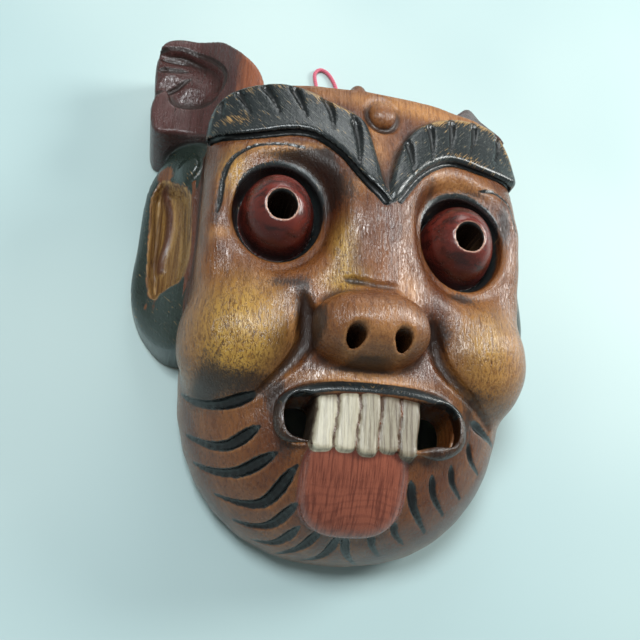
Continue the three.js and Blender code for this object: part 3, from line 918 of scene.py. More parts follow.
@dataclass
class Ornaments:
    """The small dome between the brows and the carved knob behind the crown's edge."""

    boss: Point = (3.6, 113.6, 82.6)
    boss_radius: float = 6.3
    boss_rise: float = 4.6
    knob: Point = (-7.0, 127.0, 77.0)
    knob_radii: Point = (4.2, 4.8, 5.0)

    def carve(self, wood: WoodGrid) -> None:
        """Cuts the ring around the dome and raises dome and knob."""
        bx, by, bz = self.boss
        r = self.boss_radius

        def ring(x: Array, y: Array, z: Array) -> Array:
            """Distances to the ring-shaped cut."""
            return np.hypot(np.hypot(x - bx, (y - by) * 0.86) - r - 0.9, z - bz - 0.4) - 1.7

        wood.cut(ring, (bx - 14, by - 14, bz - 8), (bx + 14, by + 14, bz + 8), 1.6)
        wood.join(
            lambda x, y, z: oval(x - bx, (y - by) * 0.9, z - bz + 0.6, (r, r, self.boss_rise)),
            (bx - 12, by - 12, bz - 8), (bx + 12, by + 12, bz + 10), 0.5,
        )
        kx, ky, kz = self.knob
        wood.join(
            lambda x, y, z: oval(x - kx, y - ky, z - kz, self.knob_radii),
            (kx - 8, ky - 10, kz - 8), (kx + 8, ky + 12, kz + 9), 1.2,
        )


@dataclass
class Hollow:
    """The back: a squarish dome scooped out of the block, a rim's width inside its outline."""

    wall: float = 12.0
    depth: float = 54.0
    power: float = 3.2

    def form(self, head: Head) -> Form:
        """Distances to the hollow."""
        top = head.crown_y - self.wall
        bottom = head.jaw_middle[0] - head.jaw_radii[1] + 2 + self.wall
        radii = (head.half_width - self.wall, (top - bottom) / 2, self.depth)
        middle = (top + bottom) / 2
        return lambda x, y, z: oval(x, y - middle, z, radii, self.power)

    def carve(self, wood: WoodGrid, head: Head) -> None:
        """Scoops out the hollow."""
        wood.cut(self.form(head), (-66, -70, -6), (66, 120, 62), 1.0)


@dataclass(frozen=True)
class ColourPatch:
    """A patch of colour in plan: its middle, half widths and strength."""

    x: float
    y: float
    wide: float
    high: float
    strength: float = 1.0

    def weight(self, points: Array) -> Array:
        """How strongly the patch colours each point of the front."""
        u = (points[:, 0] - self.x) / self.wide
        v = (points[:, 1] - self.y) / self.high
        return self.strength * np.exp(-(u * u + v * v) ** 1.2)


@dataclass(frozen=True)
class StainsAndShadow:
    """Where stain lies more or less strongly on the face, with one painted shadow: the dark patch along the
    underside of the snout.
    """

    gold: Tuple[ColourPatch, ...] = (
        ColourPatch(-54, 7, 17, 18), ColourPatch(-54, -5, 11, 9, 0.6), ColourPatch(-15, 39, 4.5, 12, 0.9),
        ColourPatch(-15, 26, 8, 5, 0.9), ColourPatch(-61, 76, 6, 11, 0.7), ColourPatch(-41, 88, 16, 3, 0.35),
        ColourPatch(51, 4, 15, 18, 0.7),
    )
    dark: Tuple[ColourPatch, ...] = (
        ColourPatch(-36, 86, 12, 3, 0.9), ColourPatch(-29, 80, 7, 6, 1.2), ColourPatch(-23, 73, 5, 14, 1.2),
        ColourPatch(-16, 67, 8, 10, 0.6),
        ColourPatch(-30, 16, 4, 12, 0.8), ColourPatch(-38, 25, 8, 3, 0.6), ColourPatch(-26, 4, 3.4, 10),
        # The first patch on the next line lies along the underside of the snout: a painted shadow.
        ColourPatch(-5, -8.6, 16, 1.2, 1.0), ColourPatch(-52, -15, 15, 5, 0.8), ColourPatch(-65, -12, 6, 11, 0.6),
        ColourPatch(23, 10, 3, 8, 0.8), ColourPatch(29, 9, 4, 9, 0.8), ColourPatch(39, 28, 8, 3, 0.9),
        ColourPatch(-37, -22, 5, 8, 0.8), ColourPatch(-32, -39, 5, 6, 0.6), ColourPatch(44, -24, 4, 10, 0.7),
        ColourPatch(-67, 59, 2, 12, 0.6), ColourPatch(47, -14, 12, 4, 0.5), ColourPatch(62, 68, 3, 12, 0.9),
        ColourPatch(46, 81, 10, 2, 0.6), ColourPatch(26, 74, 3, 10, 0.6), ColourPatch(3.6, 105, 4, 2.4, 0.8),
    )
    tan: Tuple[ColourPatch, ...] = (
        ColourPatch(-2, 91, 5, 14, 0.7), ColourPatch(-1, 2, 14, 10, 0.6), ColourPatch(-3, -12.6, 24, 3.6, 1.3),
        ColourPatch(-33, 8, 2, 8, 0.9), ColourPatch(-65, 47, 4, 3, 0.9), ColourPatch(63, 8, 8, 18, 0.6),
        ColourPatch(38, 83, 18, 4, 0.7), ColourPatch(-39, 90, 20, 2, 0.6), ColourPatch(13, 24, 5, 7, 0.7),
        ColourPatch(-10, 68, 6, 5, 0.4), ColourPatch(22, 121, 44, 5, 0.9), ColourPatch(50, -6, 10, 8, 0.3),
    )
    red: Tuple[ColourPatch, ...] = (
        ColourPatch(-50, -13, 18, 8, 0.8), ColourPatch(12, -58, 40, 26, 0.5),
        ColourPatch(-1, -8, 14, 8, 0.4), ColourPatch(-30, -2, 8, 8, 0.5), ColourPatch(-49, -12, 12, 5, 0.6),
        ColourPatch(-10, 54, 8, 10, 0.3), ColourPatch(-44, -46, 16, 21, 0.5), ColourPatch(37, -46, 16, 17, 0.4),
    )
    worn: Tuple[ColourPatch, ...] = (ColourPatch(-62, 104, 8, 4, 0.6), ColourPatch(44, 96.5, 14, 3, 0.6))

    @staticmethod
    def total(spots: Sequence[ColourPatch], points: Array) -> Array:
        """Adds up patches of one kind, up to full strength."""
        return np.clip(sum(spot.weight(points) for spot in spots), 0, 1) * ramp(20, 45, points[:, 2])


@dataclass
class Gouging:
    """The lines cut into the face after its forms: beard, lids, cheek folds and nose crease."""

    beard: Tuple[Tuple[Point, ...], ...] = (
        ((-43.6, -18.2, 66), (-59.1, -21.2, 54), (-73.3, -9.5, 28)),
        ((-42.3, -30.7, 62), (-54.4, -36.6, 50), (-69.5, -27.6, 28)),
        ((-34.7, -40.4, 61), (-49.8, -46.6, 47), (-65.4, -38.8, 26)),
        ((-27.0, -45.3, 62), (-37.8, -57.6, 46), (-55.4, -52.2, 30)),
        ((-24.5, -57.9, 53), (-34.2, -65.2, 38), (-47.2, -61.6, 26)),
        ((-21.9, -65.5, 45), (-29.3, -70.6, 30), (-38.5, -69.0, 20)),
        ((-13.5, -66.7, 46), (-19.4, -72.4, 33), (-27.5, -75.0, 19)),
        ((-5.7, -68.5, 45), (-8.8, -74.5, 31), (-16.5, -78.0, 18)),
        ((-3.3, -68.4, 45), (-0.5, -73.4, 35), (7.5, -76.7, 20)),
        ((7.1, -67.3, 46), (9.4, -71.1, 40), (15.2, -74.1, 30)),
        ((15.7, -63.0, 50), (17.8, -66.9, 45), (24.0, -69.7, 37)),
        ((19.3, -48.2, 62), (23.0, -57.3, 54), (32.2, -64.8, 40)),
        ((28.5, -45.1, 61), (31.4, -52.6, 55), (38.9, -58.2, 45)),
        ((37.3, -40.5, 60), (40.0, -47.0, 55), (46.2, -50.9, 46)),
        ((45.2, -30.4, 60), (48.2, -36.3, 56), (55.0, -40.2, 46)),
        ((46.0, -22.1, 63), (54.3, -24.7, 56), (64.0, -26.0, 42)),
    )
    beard_radius: float = 2.4
    beard_least: float = 1.3
    beard_share: float = 0.058
    lids: Tuple[Stroke, ...] = (
        Stroke(((-66.6, 55.3, 74), (-66.1, 63.3, 76), (-65.8, 71.5, 77), (-63.1, 81.1, 77), (-57.9, 87, 77),
                (-51.7, 90.2, 78), (-41.5, 91.0, 81), (-32.1, 89.0, 83)), 1.0),
        Stroke(((50.0, 82.5, 79), (57.0, 83.3, 77), (64.0, 78.8, 75), (67.4, 65, 75)), 0.6),
    )
    folds: Tuple[Stroke, ...] = (
        Stroke(((-30, 20, 80), (-26.6, 6.3, 76), (-30.4, -3.8, 73), (-36.2, -10.8, 71),
                (-45.3, -19.2, 64)), 2.8),
        Stroke(((24.4, 16, 78), (29.9, -2.1, 74), (42.6, -13.9, 70), (60, -24, 55)), 2.6),
    )
    crease: Stroke = Stroke(((-14.6, 26.3, 85), (-9.2, 24.6, 88), (-1.6, 22.6, 90), (7.2, 23.1, 89)), 0.7)

    def carve(self, wood: WoodGrid, head: Head, brows: Brows) -> Dict[str, List[Tuple[Array, Array]]]:
        """Cuts every line.

        Args:
            wood: The block.
            head: The head that the lines run over.
            brows: The brows, whose grooves are cut here.

        Returns:
            The tracks by kind: painted black, grooves in the brows, and those that only hold dark stain.
        """
        black = []
        for points in self.beard:
            length = float(np.linalg.norm(np.subtract(points[-1], points[0])))
            radius = float(np.clip(self.beard_share * length, self.beard_least, self.beard_radius))
            black.append(Stroke(points, radius).track(head))
        for line, radii in black:
            wood.gouge(line, radii, 0.7)
        feet = brows.feet(head)
        grooves = brows.grooves(head)
        for line, radii in feet + grooves:
            wood.gouge(line, radii, 0.5)
        lids = [stroke.track(head) for stroke in self.lids]
        for line, radii in lids:
            wood.gouge(line, radii, 0.8)
        brown = [stroke.track(head) for stroke in (*self.folds, self.crease)]
        for line, radii in brown:
            wood.gouge(line, radii, 2.2)
        return {"black": black + feet + lids, "groove": grooves, "brown": brown}


class Wire:
    """A shader socket that takes part in sums as a number does."""

    def __init__(self, bench: "Bench", socket: bpy.types.NodeSocket) -> None:
        """Wraps an output socket of a bench's node tree."""
        self.bench = bench
        self.socket = socket

    def __add__(self, other: "Value") -> "Wire":
        """Adds."""
        return self.bench.maths("ADD", self, other)

    def __radd__(self, other: "Value") -> "Wire":
        """Adds, number first."""
        return self.bench.maths("ADD", other, self)

    def __sub__(self, other: "Value") -> "Wire":
        """Subtracts."""
        return self.bench.maths("SUBTRACT", self, other)

    def __rsub__(self, other: "Value") -> "Wire":
        """Subtracts, number first."""
        return self.bench.maths("SUBTRACT", other, self)

    def __mul__(self, other: "Value") -> "Wire":
        """Multiplies."""
        return self.bench.maths("MULTIPLY", self, other)

    def __rmul__(self, other: "Value") -> "Wire":
        """Multiplies, number first."""
        return self.bench.maths("MULTIPLY", other, self)

    def __or__(self, other: "Value") -> "Wire":
        """The larger of two values: either mask."""
        return self.bench.maths("MAXIMUM", self, other)

    def __and__(self, other: "Value") -> "Wire":
        """The smaller of two values: both masks."""
        return self.bench.maths("MINIMUM", self, other)


Value = Union[Wire, float, int, tuple]


def srgb(red: int, green: int, blue: int) -> Colour:
    """A screen colour of 0 to 255 as the linear colour that shaders use."""
    def linear(part: int) -> float:
        """One channel."""
        share = part / 255
        return share / 12.92 if share <= 0.04045 else ((share + 0.055) / 1.055) ** 2.4

    return (linear(red), linear(green), linear(blue))


class Bench:
    """The node tree of one material, and the only place where its nodes are made."""

    def __init__(self, name: str) -> None:
        """Starts an empty material of that name."""
        self.material = bpy.data.materials.new(name)
        self.material.use_nodes = True
        self.tree = self.material.node_tree
        self.tree.nodes.clear()

    def node(self, kind: str, settings: dict, inputs: dict, output: Union[str, int] = 0) -> Wire:
        """Makes one node.

        Args:
            kind: The node's type.
            settings: Its properties, set first.
            inputs: Values or wires for its sockets, by name or number.
            output: Which output to hand back.

        Returns:
            The wrapped output.
        """
        made = self.tree.nodes.new(kind)
        for key, value in settings.items():
            setattr(made, key, value)
        for key, value in inputs.items():
            socket = made.inputs[key]
            if isinstance(value, Wire):
                self.tree.links.new(value.socket, socket)
            elif isinstance(value, tuple) and socket.type == "RGBA":
                socket.default_value = (*value, 1.0)
            else:
                socket.default_value = value
        return Wire(self, made.outputs[output]) if len(made.outputs) else Wire(self, made.inputs[0])

    def maths(self, operation: str, a: Value, b: Value) -> Wire:
        """A Math node on two numbers."""
        return self.node("ShaderNodeMath", {"operation": operation}, {0: a, 1: b})

    def step(self, value: Value, start: float, end: float) -> Wire:
        """Rises smoothly from 0 at start to 1 at end, which may be the lower one."""
        low, high = (0.0, 1.0) if start < end else (1.0, 0.0)
        return self.node("ShaderNodeMapRange", {"interpolation_type": "SMOOTHSTEP", "clamp": True}, {
            "Value": value, "From Min": min(start, end), "From Max": max(start, end),
            "To Min": low, "To Max": high,
        })

    def blend(self, share: Value, under: Value, over: Value) -> Wire:
        """Lays one colour over another."""
        return self.node("ShaderNodeMix", {"data_type": "RGBA"}, {0: share, 6: under, 7: over}, 2)

    def tint(self, share: Value, under: Value, over: Value) -> Wire:
        """Multiplies one colour by another."""
        settings = {"data_type": "RGBA", "blend_type": "MULTIPLY"}
        return self.node("ShaderNodeMix", settings, {0: share, 6: under, 7: over}, 2)

    def mark(self, name: str) -> Wire:
        """A value stored at the points of the piece."""
        return self.node("ShaderNodeAttribute", {"attribute_name": name}, {}, "Fac")

    def place(self, scale: Point = (1000.0, 1000.0, 1000.0), shift: Point = (0.0, 0.0, 0.0)) -> Wire:
        """Object coordinates, stretched and shifted; a scale of 1000 counts millimetres."""
        spot = self.node("ShaderNodeTexCoord", {}, {}, "Object")
        inputs = {"Vector": spot, "Scale": scale, "Location": shift}
        return self.node("ShaderNodeMapping", {"vector_type": "POINT"}, inputs)

    def axis(self, name: str) -> Wire:
        """One of the object coordinates, in millimetres."""
        return self.node("ShaderNodeSeparateXYZ", {}, {0: self.place()}, name)

    def noise(self, scale: Point, detail: float = 3.0, rough: float = 0.5, shift: Point = (0.0, 0.0, 0.0),
              warp: float = 0.0) -> Wire:
        """Soft noise whose cells are 1/scale metres long each way."""
        return self.node(
            "ShaderNodeTexNoise", {},
            {"Vector": self.place(scale, shift), "Scale": 1.0, "Detail": detail, "Roughness": rough,
             "Distortion": warp},
        )

    def bump(self, height: Value, strength: float, distance: float) -> Wire:
        """A normal from a height, at that strength, with relief that many metres deep."""
        inputs = {"Strength": strength, "Distance": distance, "Height": height}
        return self.node("ShaderNodeBump", {}, inputs, "Normal")

    def finish(self, **sockets: Value) -> bpy.types.Material:
        """Closes the material with one Principled shader.

        Args:
            sockets: Its sockets, with underscores for spaces.

        Returns:
            The material.
        """
        inputs = {name.replace("_", " "): value for name, value in sockets.items()}
        surface = self.node("ShaderNodeBsdfPrincipled", {}, inputs, "BSDF")
        self.node("ShaderNodeOutputMaterial", {}, {"Surface": surface})
        return self.material


@dataclass(frozen=True)
class LacqueredCarving:
    """Stained and painted wood under a glossy lacquer, bare at the back, with painted shade in its hollows
    and holes.
    """

    amber: Colour = srgb(146, 90, 46)
    gold: Colour = srgb(206, 160, 74)
    tan: Colour = srgb(214, 152, 92)
    russet: Colour = srgb(98, 50, 27)
    # umber is dark stain, and also the painted shade in hollows and down holes.
    umber: Colour = srgb(38, 20, 11)
    grain: Colour = srgb(84, 48, 22)
    fibre: Colour = (0.42, 0.29, 0.20)
    paint: Colour = srgb(38, 43, 44)
    scratch: Colour = srgb(120, 122, 112)
    # paint_deep is also the painted shade in the middle of grooves and black lines.
    paint_deep: Colour = srgb(12, 15, 16)
    paint_worn: Colour = srgb(190, 148, 92)
    green: Colour = srgb(42, 52, 46)
    eyeball: Colour = srgb(118, 44, 34)
    eyeball_dark: Colour = srgb(46, 20, 17)
    pale_rim: Colour = srgb(206, 160, 140)
    bone: Colour = srgb(212, 202, 176)
    bone_shade: Colour = srgb(112, 98, 80)
    tongue: Colour = srgb(160, 88, 66)
    tongue_dark: Colour = srgb(92, 40, 30)
    curl: Colour = srgb(84, 48, 45)
    curl_orange: Colour = srgb(158, 90, 58)
    bark: Colour = srgb(172, 134, 78)
    raw: Colour = srgb(176, 134, 92)

    def wood(self, bench: Bench) -> Tuple[Wire, Wire, Wire]:
        """Bare grain: growth layers that curve round the forms, streaks along Y and open pores.

        Args:
            bench: The material being made.

        Returns:
            The wood's colour, the share of dark fibre over it and the height of the grain.
        """
        drift = bench.noise((22.0, 6.0, 22.0), 2.0)
        layer = bench.axis("Z") * 0.62 + bench.axis("X") * 0.05 + drift * 9.0
        rings = bench.step(bench.maths("SINE", layer * 2.6, 0.0), -0.4, 1.0)
        streak = bench.step(bench.noise((900.0, 40.0, 620.0), 4.0, 0.66), 0.44, 0.68)
        pores = bench.step(bench.noise((1500.0, 190.0, 1300.0), 2.0, 0.5, (7.0, 0.0, 0.0)), 0.56, 0.66)
        broad = bench.noise((46.0, 12.0, 46.0), 3.0, 0.55, (3.0, 1.0, 2.0))
        colour = bench.blend(bench.step(broad, 0.34, 0.66), self.amber, self.russet)
        dark = streak * 0.5 + rings * 0.16 + pores * 0.4
        return colour, dark, (streak * 0.5 + pores * 0.5) * -1.0

    def stained_and_shaded(self, bench: Bench, colour: Wire, ragged: Wire, fleck: Wire) -> Tuple[Wire, Wire]:
        """Rubs the stain in, golden and tan where the face stands out, and paints shade where it lies deep,
        with dark stain in patches.

        Args:
            bench: The material being made.
            colour: The bare wood's colour.
            ragged: Coarse noise for ragged edges.
            fleck: Short upright flecks.

        Returns:
            The colour and the share of dark stain and painted shade.
        """
        gold = bench.mark("gold")
        colour = bench.blend(bench.mark("red") * 0.7, colour, self.russet)
        colour = bench.blend(gold * 0.9, colour, self.gold)
        colour = bench.blend(bench.mark("tan") * 0.85, colour, self.tan)
        colour = bench.blend(bench.step(bench.mark("crest"), 0.46, 0.34) * 0.35, colour, self.tan)
        colour = bench.blend(bench.step(fleck, 0.50, 0.58) * (gold * 0.55 + 0.22), colour, self.grain)
        # Painted shade: umber where the wood round a point is hollow, held back under tan.
        recess = bench.step(bench.mark("recess") + ragged * 0.08, 0.52, 0.66)
        dark = bench.step(bench.mark("dark") + (fleck - 0.5) * 1.3, 0.14, 0.8)
        seam = bench.step(bench.mark("brown_line") + ragged * 1.2, 1.1, -0.4)
        deep = ((recess * (1 - bench.mark("tan") * 0.9)) | dark) | seam
        return bench.blend(deep * 0.9, colour, self.umber), deep

    def material(self) -> bpy.types.Material:
        """The whole finish, from the marks stored on the carving."""
        bench = Bench("stained_and_shaded_wood_lacquered")
        ragged = bench.noise((420.0, 300.0, 420.0), 3.0, 0.6) - 0.5
        fine = bench.noise((1300.0, 500.0, 1300.0), 2.0, 0.6, (2.0, 5.0, 1.0)) - 0.5
        fleck = bench.noise((1150.0, 420.0, 1150.0), 3.0, 0.66, (1.0, 4.0, 9.0), 1.2)
        colour, fibre, height = self.wood(bench)
        colour, deep = self.stained_and_shaded(bench, colour, ragged, fleck)
        colour = self.curls(bench, colour)
        colour = self.ears(bench, colour, ragged)
        colour = self.lips(bench, colour, ragged)
        colour = bench.tint(fibre, colour, self.fibre)
        colour, tongue, meat = self.tongue_colour(bench, colour, ragged)
        colour, teeth, chipped = self.teeth_colour(bench, colour, ragged)
        colour, ball = self.eye_colour(bench, colour, fine)
        colour, paint, hatch = self.black_paint(bench, colour, ragged, ball)
        # Painted shade: umber down the pupils, the nostrils and the mouth.
        colour = bench.blend(bench.mark("hole_painted_shade") * 0.85, colour, self.umber)
        raw = bench.mark("raw")
        streaks = bench.step(bench.noise((500.0, 30.0, 500.0), 4.0, 0.6), 0.4, 0.7)
        colour = bench.blend(raw, colour, bench.blend(streaks * 0.5, self.raw, self.grain))
        covered = (paint | ball) | (tongue | teeth)
        tool = bench.noise((420.0, 120.0, 420.0), 2.0, 0.5, (4.0, 4.0, 4.0))
        height = (height + 0.25) * (1 - covered * 0.7) + (hatch - 0.5) * paint * 0.7
        height = height + (meat - 0.5) * tongue * 0.5 + (chipped - 0.5) * teeth
        height = height + tool * 0.25 + fine * 0.35 - bench.step(fleck, 0.46, 0.60) * (1 - covered) * 0.4
        return bench.finish(
            Base_Color=colour, Roughness=0.25 + fine * 0.14 + deep * 0.1 + raw * 0.4 + teeth * 0.16,
            Metallic=0.0, Specular_IOR_Level=0.72, IOR=1.5, Normal=bench.bump(height, 0.4, 0.0004),
        )

    def lips(self, bench: Bench, colour: Wire, ragged: Wire) -> Wire:
        """Darkens the lips towards the ends of the mouth."""
        lips = bench.step(bench.mark("lips") + ragged * 0.8, 0.9, -0.2)
        ends = bench.step(bench.mark("mouth_end"), 0.0, 0.8)
        return bench.blend(lips * (ends * 0.8 + 0.12), colour, self.umber)

    def tongue_colour(self, bench: Bench, colour: Wire, ragged: Wire) -> Tuple[Wire, Wire, Wire]:
        """Colours the tongue red over its own grain, darker in its layers, with painted shade along its edge.

        Args:
            bench: The material being made.
            colour: The colour under it.
            ragged: Coarse noise for ragged edges.

        Returns:
            The colour, the share of tongue and its grain.
        """
        tongue = bench.step(bench.mark("tongue") + ragged * 0.2, 0.5, 0.2)
        grain = bench.noise((1300.0, 40.0, 160.0), 3.0, 0.6, (8.0, 2.0, 4.0))
        low = bench.axis("Y")
        layer = bench.maths("SINE", low * 2.3 + bench.noise((42.0, 60.0, 42.0), 2.0) * 26.0, 0.0)
        rings = bench.step(layer, 0.0, 1.0) * bench.step(low, -98.0, -112.0)
        # Painted shade along the crease where the tongue meets the wood round it.
        edge = bench.step(bench.mark("recess"), 0.51, 0.60)
        meat = bench.blend(bench.step(grain, 0.40, 0.66) * 0.7, self.tongue, self.tongue_dark)
        meat = bench.blend(rings * 0.25, meat, self.tongue_dark)
        meat = bench.blend(edge * 0.8, meat, self.tongue_dark)
        return bench.blend(tongue, colour, meat), tongue, grain

    def eye_colour(self, bench: Bench, colour: Wire, fine: Wire) -> Tuple[Wire, Wire]:
        """Colours the eyeballs a cloudy red with painted shade on their lower side, and a pale edge round
        each pupil.

        Args:
            bench: The material being made.
            colour: The colour under them.
            fine: Fine noise.

        Returns:
            The colour and the share of eyeball.
        """
        ball = bench.step(bench.mark("ball"), 0.6, 0.3)
        cloud = bench.noise((50.0, 150.0, 150.0), 4.0, 0.66, (0.0, 3.0, 1.0), 0.5)
        red = bench.blend(bench.step(cloud, 0.42, 0.66) * 0.85, self.eyeball, self.eyeball_dark)
        # Painted shade on the lower side of each eyeball.
        red = bench.blend(bench.mark("ball_painted_shade") * 0.7, red, self.eyeball_dark)
        colour = bench.blend(ball, colour, red)
        pale = bench.step(bench.mark("pupil") + fine * 0.6, 1.3, 0.5)
        return bench.blend(ball * pale, colour, self.pale_rim), ball

    def black_paint(self, bench: Bench, colour: Wire, ragged: Wire, ball: Wire) -> Tuple[Wire, Wire, Wire]:
        """Lays the black and green-black paint, scratched and worn through on the edges of the brows, with
        painted shade along the middle of its grooves and lines.

        Args:
            bench: The material being made.
            colour: The colour under it.
            ragged: Coarse noise for ragged edges.
            ball: The share of eyeball, which stays free of it.

        Returns:
            The colour, the share of paint and the height of its scratches.
        """
        paint, hatch = self.painted(bench, ragged)
        paint = paint & (1 - ball)
        scraped = bench.step(hatch + bench.mark("wear") * 0.30, 0.66, 0.74)
        green = bench.step(bench.mark("ear_paint"), 0.6, 0.0)
        black = bench.blend(green, self.paint, self.green)
        black = bench.blend(bench.step(hatch, 0.46, 0.36) * 0.45, black, self.paint_deep)
        # Painted shade: darker paint along the middle of the brow grooves and the black lines.
        slit = bench.step(bench.mark("groove"), 0.8, 0.3) | bench.step(bench.mark("black_line"), 0.6, 0.1)
        scratch = bench.step(hatch, 0.58, 0.66) * bench.step(bench.mark("brow"), 0.0, -1.0)
        black = bench.blend(scratch * 0.5, black, self.scratch)
        black = bench.blend(scraped * 0.85, black, self.paint_worn)
        black = bench.blend(slit * 0.9, black, self.paint_deep)
        return bench.blend(paint, colour, black), paint, hatch

    def teeth_colour(self, bench: Bench, colour: Wire, ragged: Wire) -> Tuple[Wire, Wire, Wire]:
        """Colours the teeth like bone, scraped upright, with grey between two teeth and painted shade where
        they sit deep.

        Args:
            bench: The material being made.
            colour: The colour under them.
            ragged: Coarse noise for ragged edges.

        Returns:
            The colour, the share of teeth and the height of their scrapes.
        """
        mouth = Mouth()
        teeth = bench.step(bench.mark("teeth"), 0.7, 0.3)
        across = bench.axis("X")
        along = bench.axis("Y")
        sway = bench.maths("SINE", (along + (MIDDLE_Y - mouth.teeth_top)) * 0.22, 0.0) * mouth.teeth_sway
        left = mouth.teeth_middle - mouth.teeth_half_width - MIDDLE_X
        tooth = (across + sway - left) * (mouth.teeth / (2 * mouth.teeth_half_width)) + ragged * 0.35
        edge = bench.maths("ABSOLUTE", bench.maths("FRACT", tooth, 0.0) - 0.5, 0.0)
        brush = bench.noise((900.0, 50.0, 160.0), 4.0, 0.7, (5.0, 2.0, 0.0))
        dull = bench.step(across, -20.0, 14.0) * 0.7 + bench.step(brush, 0.42, 0.64) * 0.45
        worn = bench.blend(dull, self.bone, self.bone_shade)
        worn = bench.blend(bench.step(edge, 0.40, 0.49) * 0.7, worn, self.grain)
        # Painted shade where the teeth sit deep in the mouth.
        worn = bench.blend(bench.step(bench.mark("recess"), 0.5, 0.66) * 0.7, worn, self.grain)
        return bench.blend(teeth, colour, worn), teeth, brush * 1.2 - bench.step(edge, 0.42, 0.5)

    def painted(self, bench: Bench, ragged: Wire) -> Tuple[Wire, Wire]:
        """Where black paint lies, and the slanted scratches in it.

        Args:
            bench: The material being made.
            ragged: Coarse noise for ragged edges.

        Returns:
            The share of paint and the height of its scratches.
        """
        brow = bench.step(bench.mark("brow") + ragged * 1.4, 0.5, -0.3)
        lines = bench.step(bench.mark("black_line") + ragged * 0.9, 0.75, 0.2)
        ring = bench.step(bench.mark("eye_ring") + ragged * 1.6, 0.5, -0.4)
        lip_line = bench.step(bench.mark("lip_line") + ragged * 0.7, 0.5, -0.1)
        ear = bench.step(bench.mark("ear_paint") + ragged * 2.4, 0.5, -0.4)
        paint = ((brow | lines) | (ring | lip_line)) | ear
        across = bench.maths("ABSOLUTE", bench.axis("X"), 0.0)
        mirrored = bench.node("ShaderNodeCombineXYZ", {}, {"X": across, "Y": bench.axis("Y")})
        turned = bench.node(
            "ShaderNodeMapping", {"vector_type": "TEXTURE"},
            {"Vector": mirrored, "Rotation": (0.0, 0.0, math.radians(-38)), "Scale": (0.42, 7.0, 1.0)},
        )
        hatch = bench.node(
            "ShaderNodeTexNoise", {}, {"Vector": turned, "Scale": 1.0, "Detail": 2.0, "Roughness": 0.6}
        )
        return paint, hatch

    def curls(self, bench: Bench, colour: Wire) -> Wire:
        """Colours the curls purple-brown, orange towards the crown, with painted shade in their recesses."""
        on_curl = bench.step(bench.mark("curl"), 0.3, -0.6)
        grain = bench.noise((300.0, 60.0, 240.0), 4.0, 0.6, (1.0, 1.0, 6.0))
        orange = bench.step(bench.mark("curl_orange") + (grain - 0.5) * 0.8, 0.3, 0.85)
        stain = bench.blend(orange, self.curl, self.curl_orange)
        # Painted shade in the curls' recesses, with dark stain in their cut lines.
        recess = bench.step(bench.mark("recess"), 0.53, 0.66) | bench.step(bench.mark("brown_line"), 0.9, 0.1)
        stain = bench.blend(recess * 0.85, stain, self.umber)
        return bench.blend(on_curl, colour, stain)

    def ears(self, bench: Bench, colour: Wire, ragged: Wire) -> Wire:
        """Colours the floor of the ears golden with brown lines and a reddish ridge."""
        floor = bench.step(bench.mark("ear_floor") + ragged, 0.4, -0.6)
        lines = bench.noise((700.0, 24.0, 520.0), 4.0, 0.62, (6.0, 3.0, 0.0), 0.2)
        stain = bench.blend(bench.step(lines, 0.38, 0.66) * 0.85, self.bark, self.grain)
        stain = bench.blend(bench.step(bench.mark("ear_ridge"), 2.6, 0.8) * 0.85, stain, self.curl)
        return bench.blend(floor * 0.9, colour, stain)


@dataclass(frozen=True)
class CordFinish:
    """Glossy pink cord, with painted shade in the grooves between its plies."""

    pink: Colour = srgb(226, 96, 122)
    deep: Colour = srgb(176, 52, 80)
    # deep is the painted shade between the plies.
    fuzz: Colour = srgb(244, 170, 184)

    def material(self) -> bpy.types.Material:
        """The cord's material."""
        bench = Bench("pink_cord_twisted_ply_shade")
        ply = bench.mark("ply")
        fuzz = bench.noise((2600.0, 2600.0, 2600.0), 2.0)
        # Painted shade in the grooves between the plies.
        colour = bench.blend(bench.step(ply, 0.55, 0.05) * 0.7, self.pink, self.deep)
        colour = bench.blend(fuzz * 0.25, colour, self.fuzz)
        normal = bench.bump(fuzz + ply, 0.3, 0.0002)
        rough = 0.42 + fuzz * 0.12
        return bench.finish(Base_Color=colour, Roughness=rough, Metallic=0.0, Sheen_Weight=0.2, Normal=normal)


@dataclass(frozen=True)
class TableFinish:
    """Pale glazed table top."""

    pale: Colour = srgb(206, 226, 224)
    cool: Colour = srgb(188, 212, 213)

    def material(self) -> bpy.types.Material:
        """The table's material."""
        bench = Bench("pale_table")
        wide = bench.noise((3.0, 3.0, 3.0), 2.0)
        speck = bench.noise((900.0, 900.0, 900.0), 2.0)
        colour = bench.blend(bench.step(wide, 0.35, 0.65), self.pale, self.cool)
        normal = bench.bump(speck, 0.04, 0.0002)
        rough = 0.5 + speck * 0.05
        return bench.finish(Base_Color=colour, Roughness=rough, Metallic=0.0, IOR=1.45, Normal=normal)


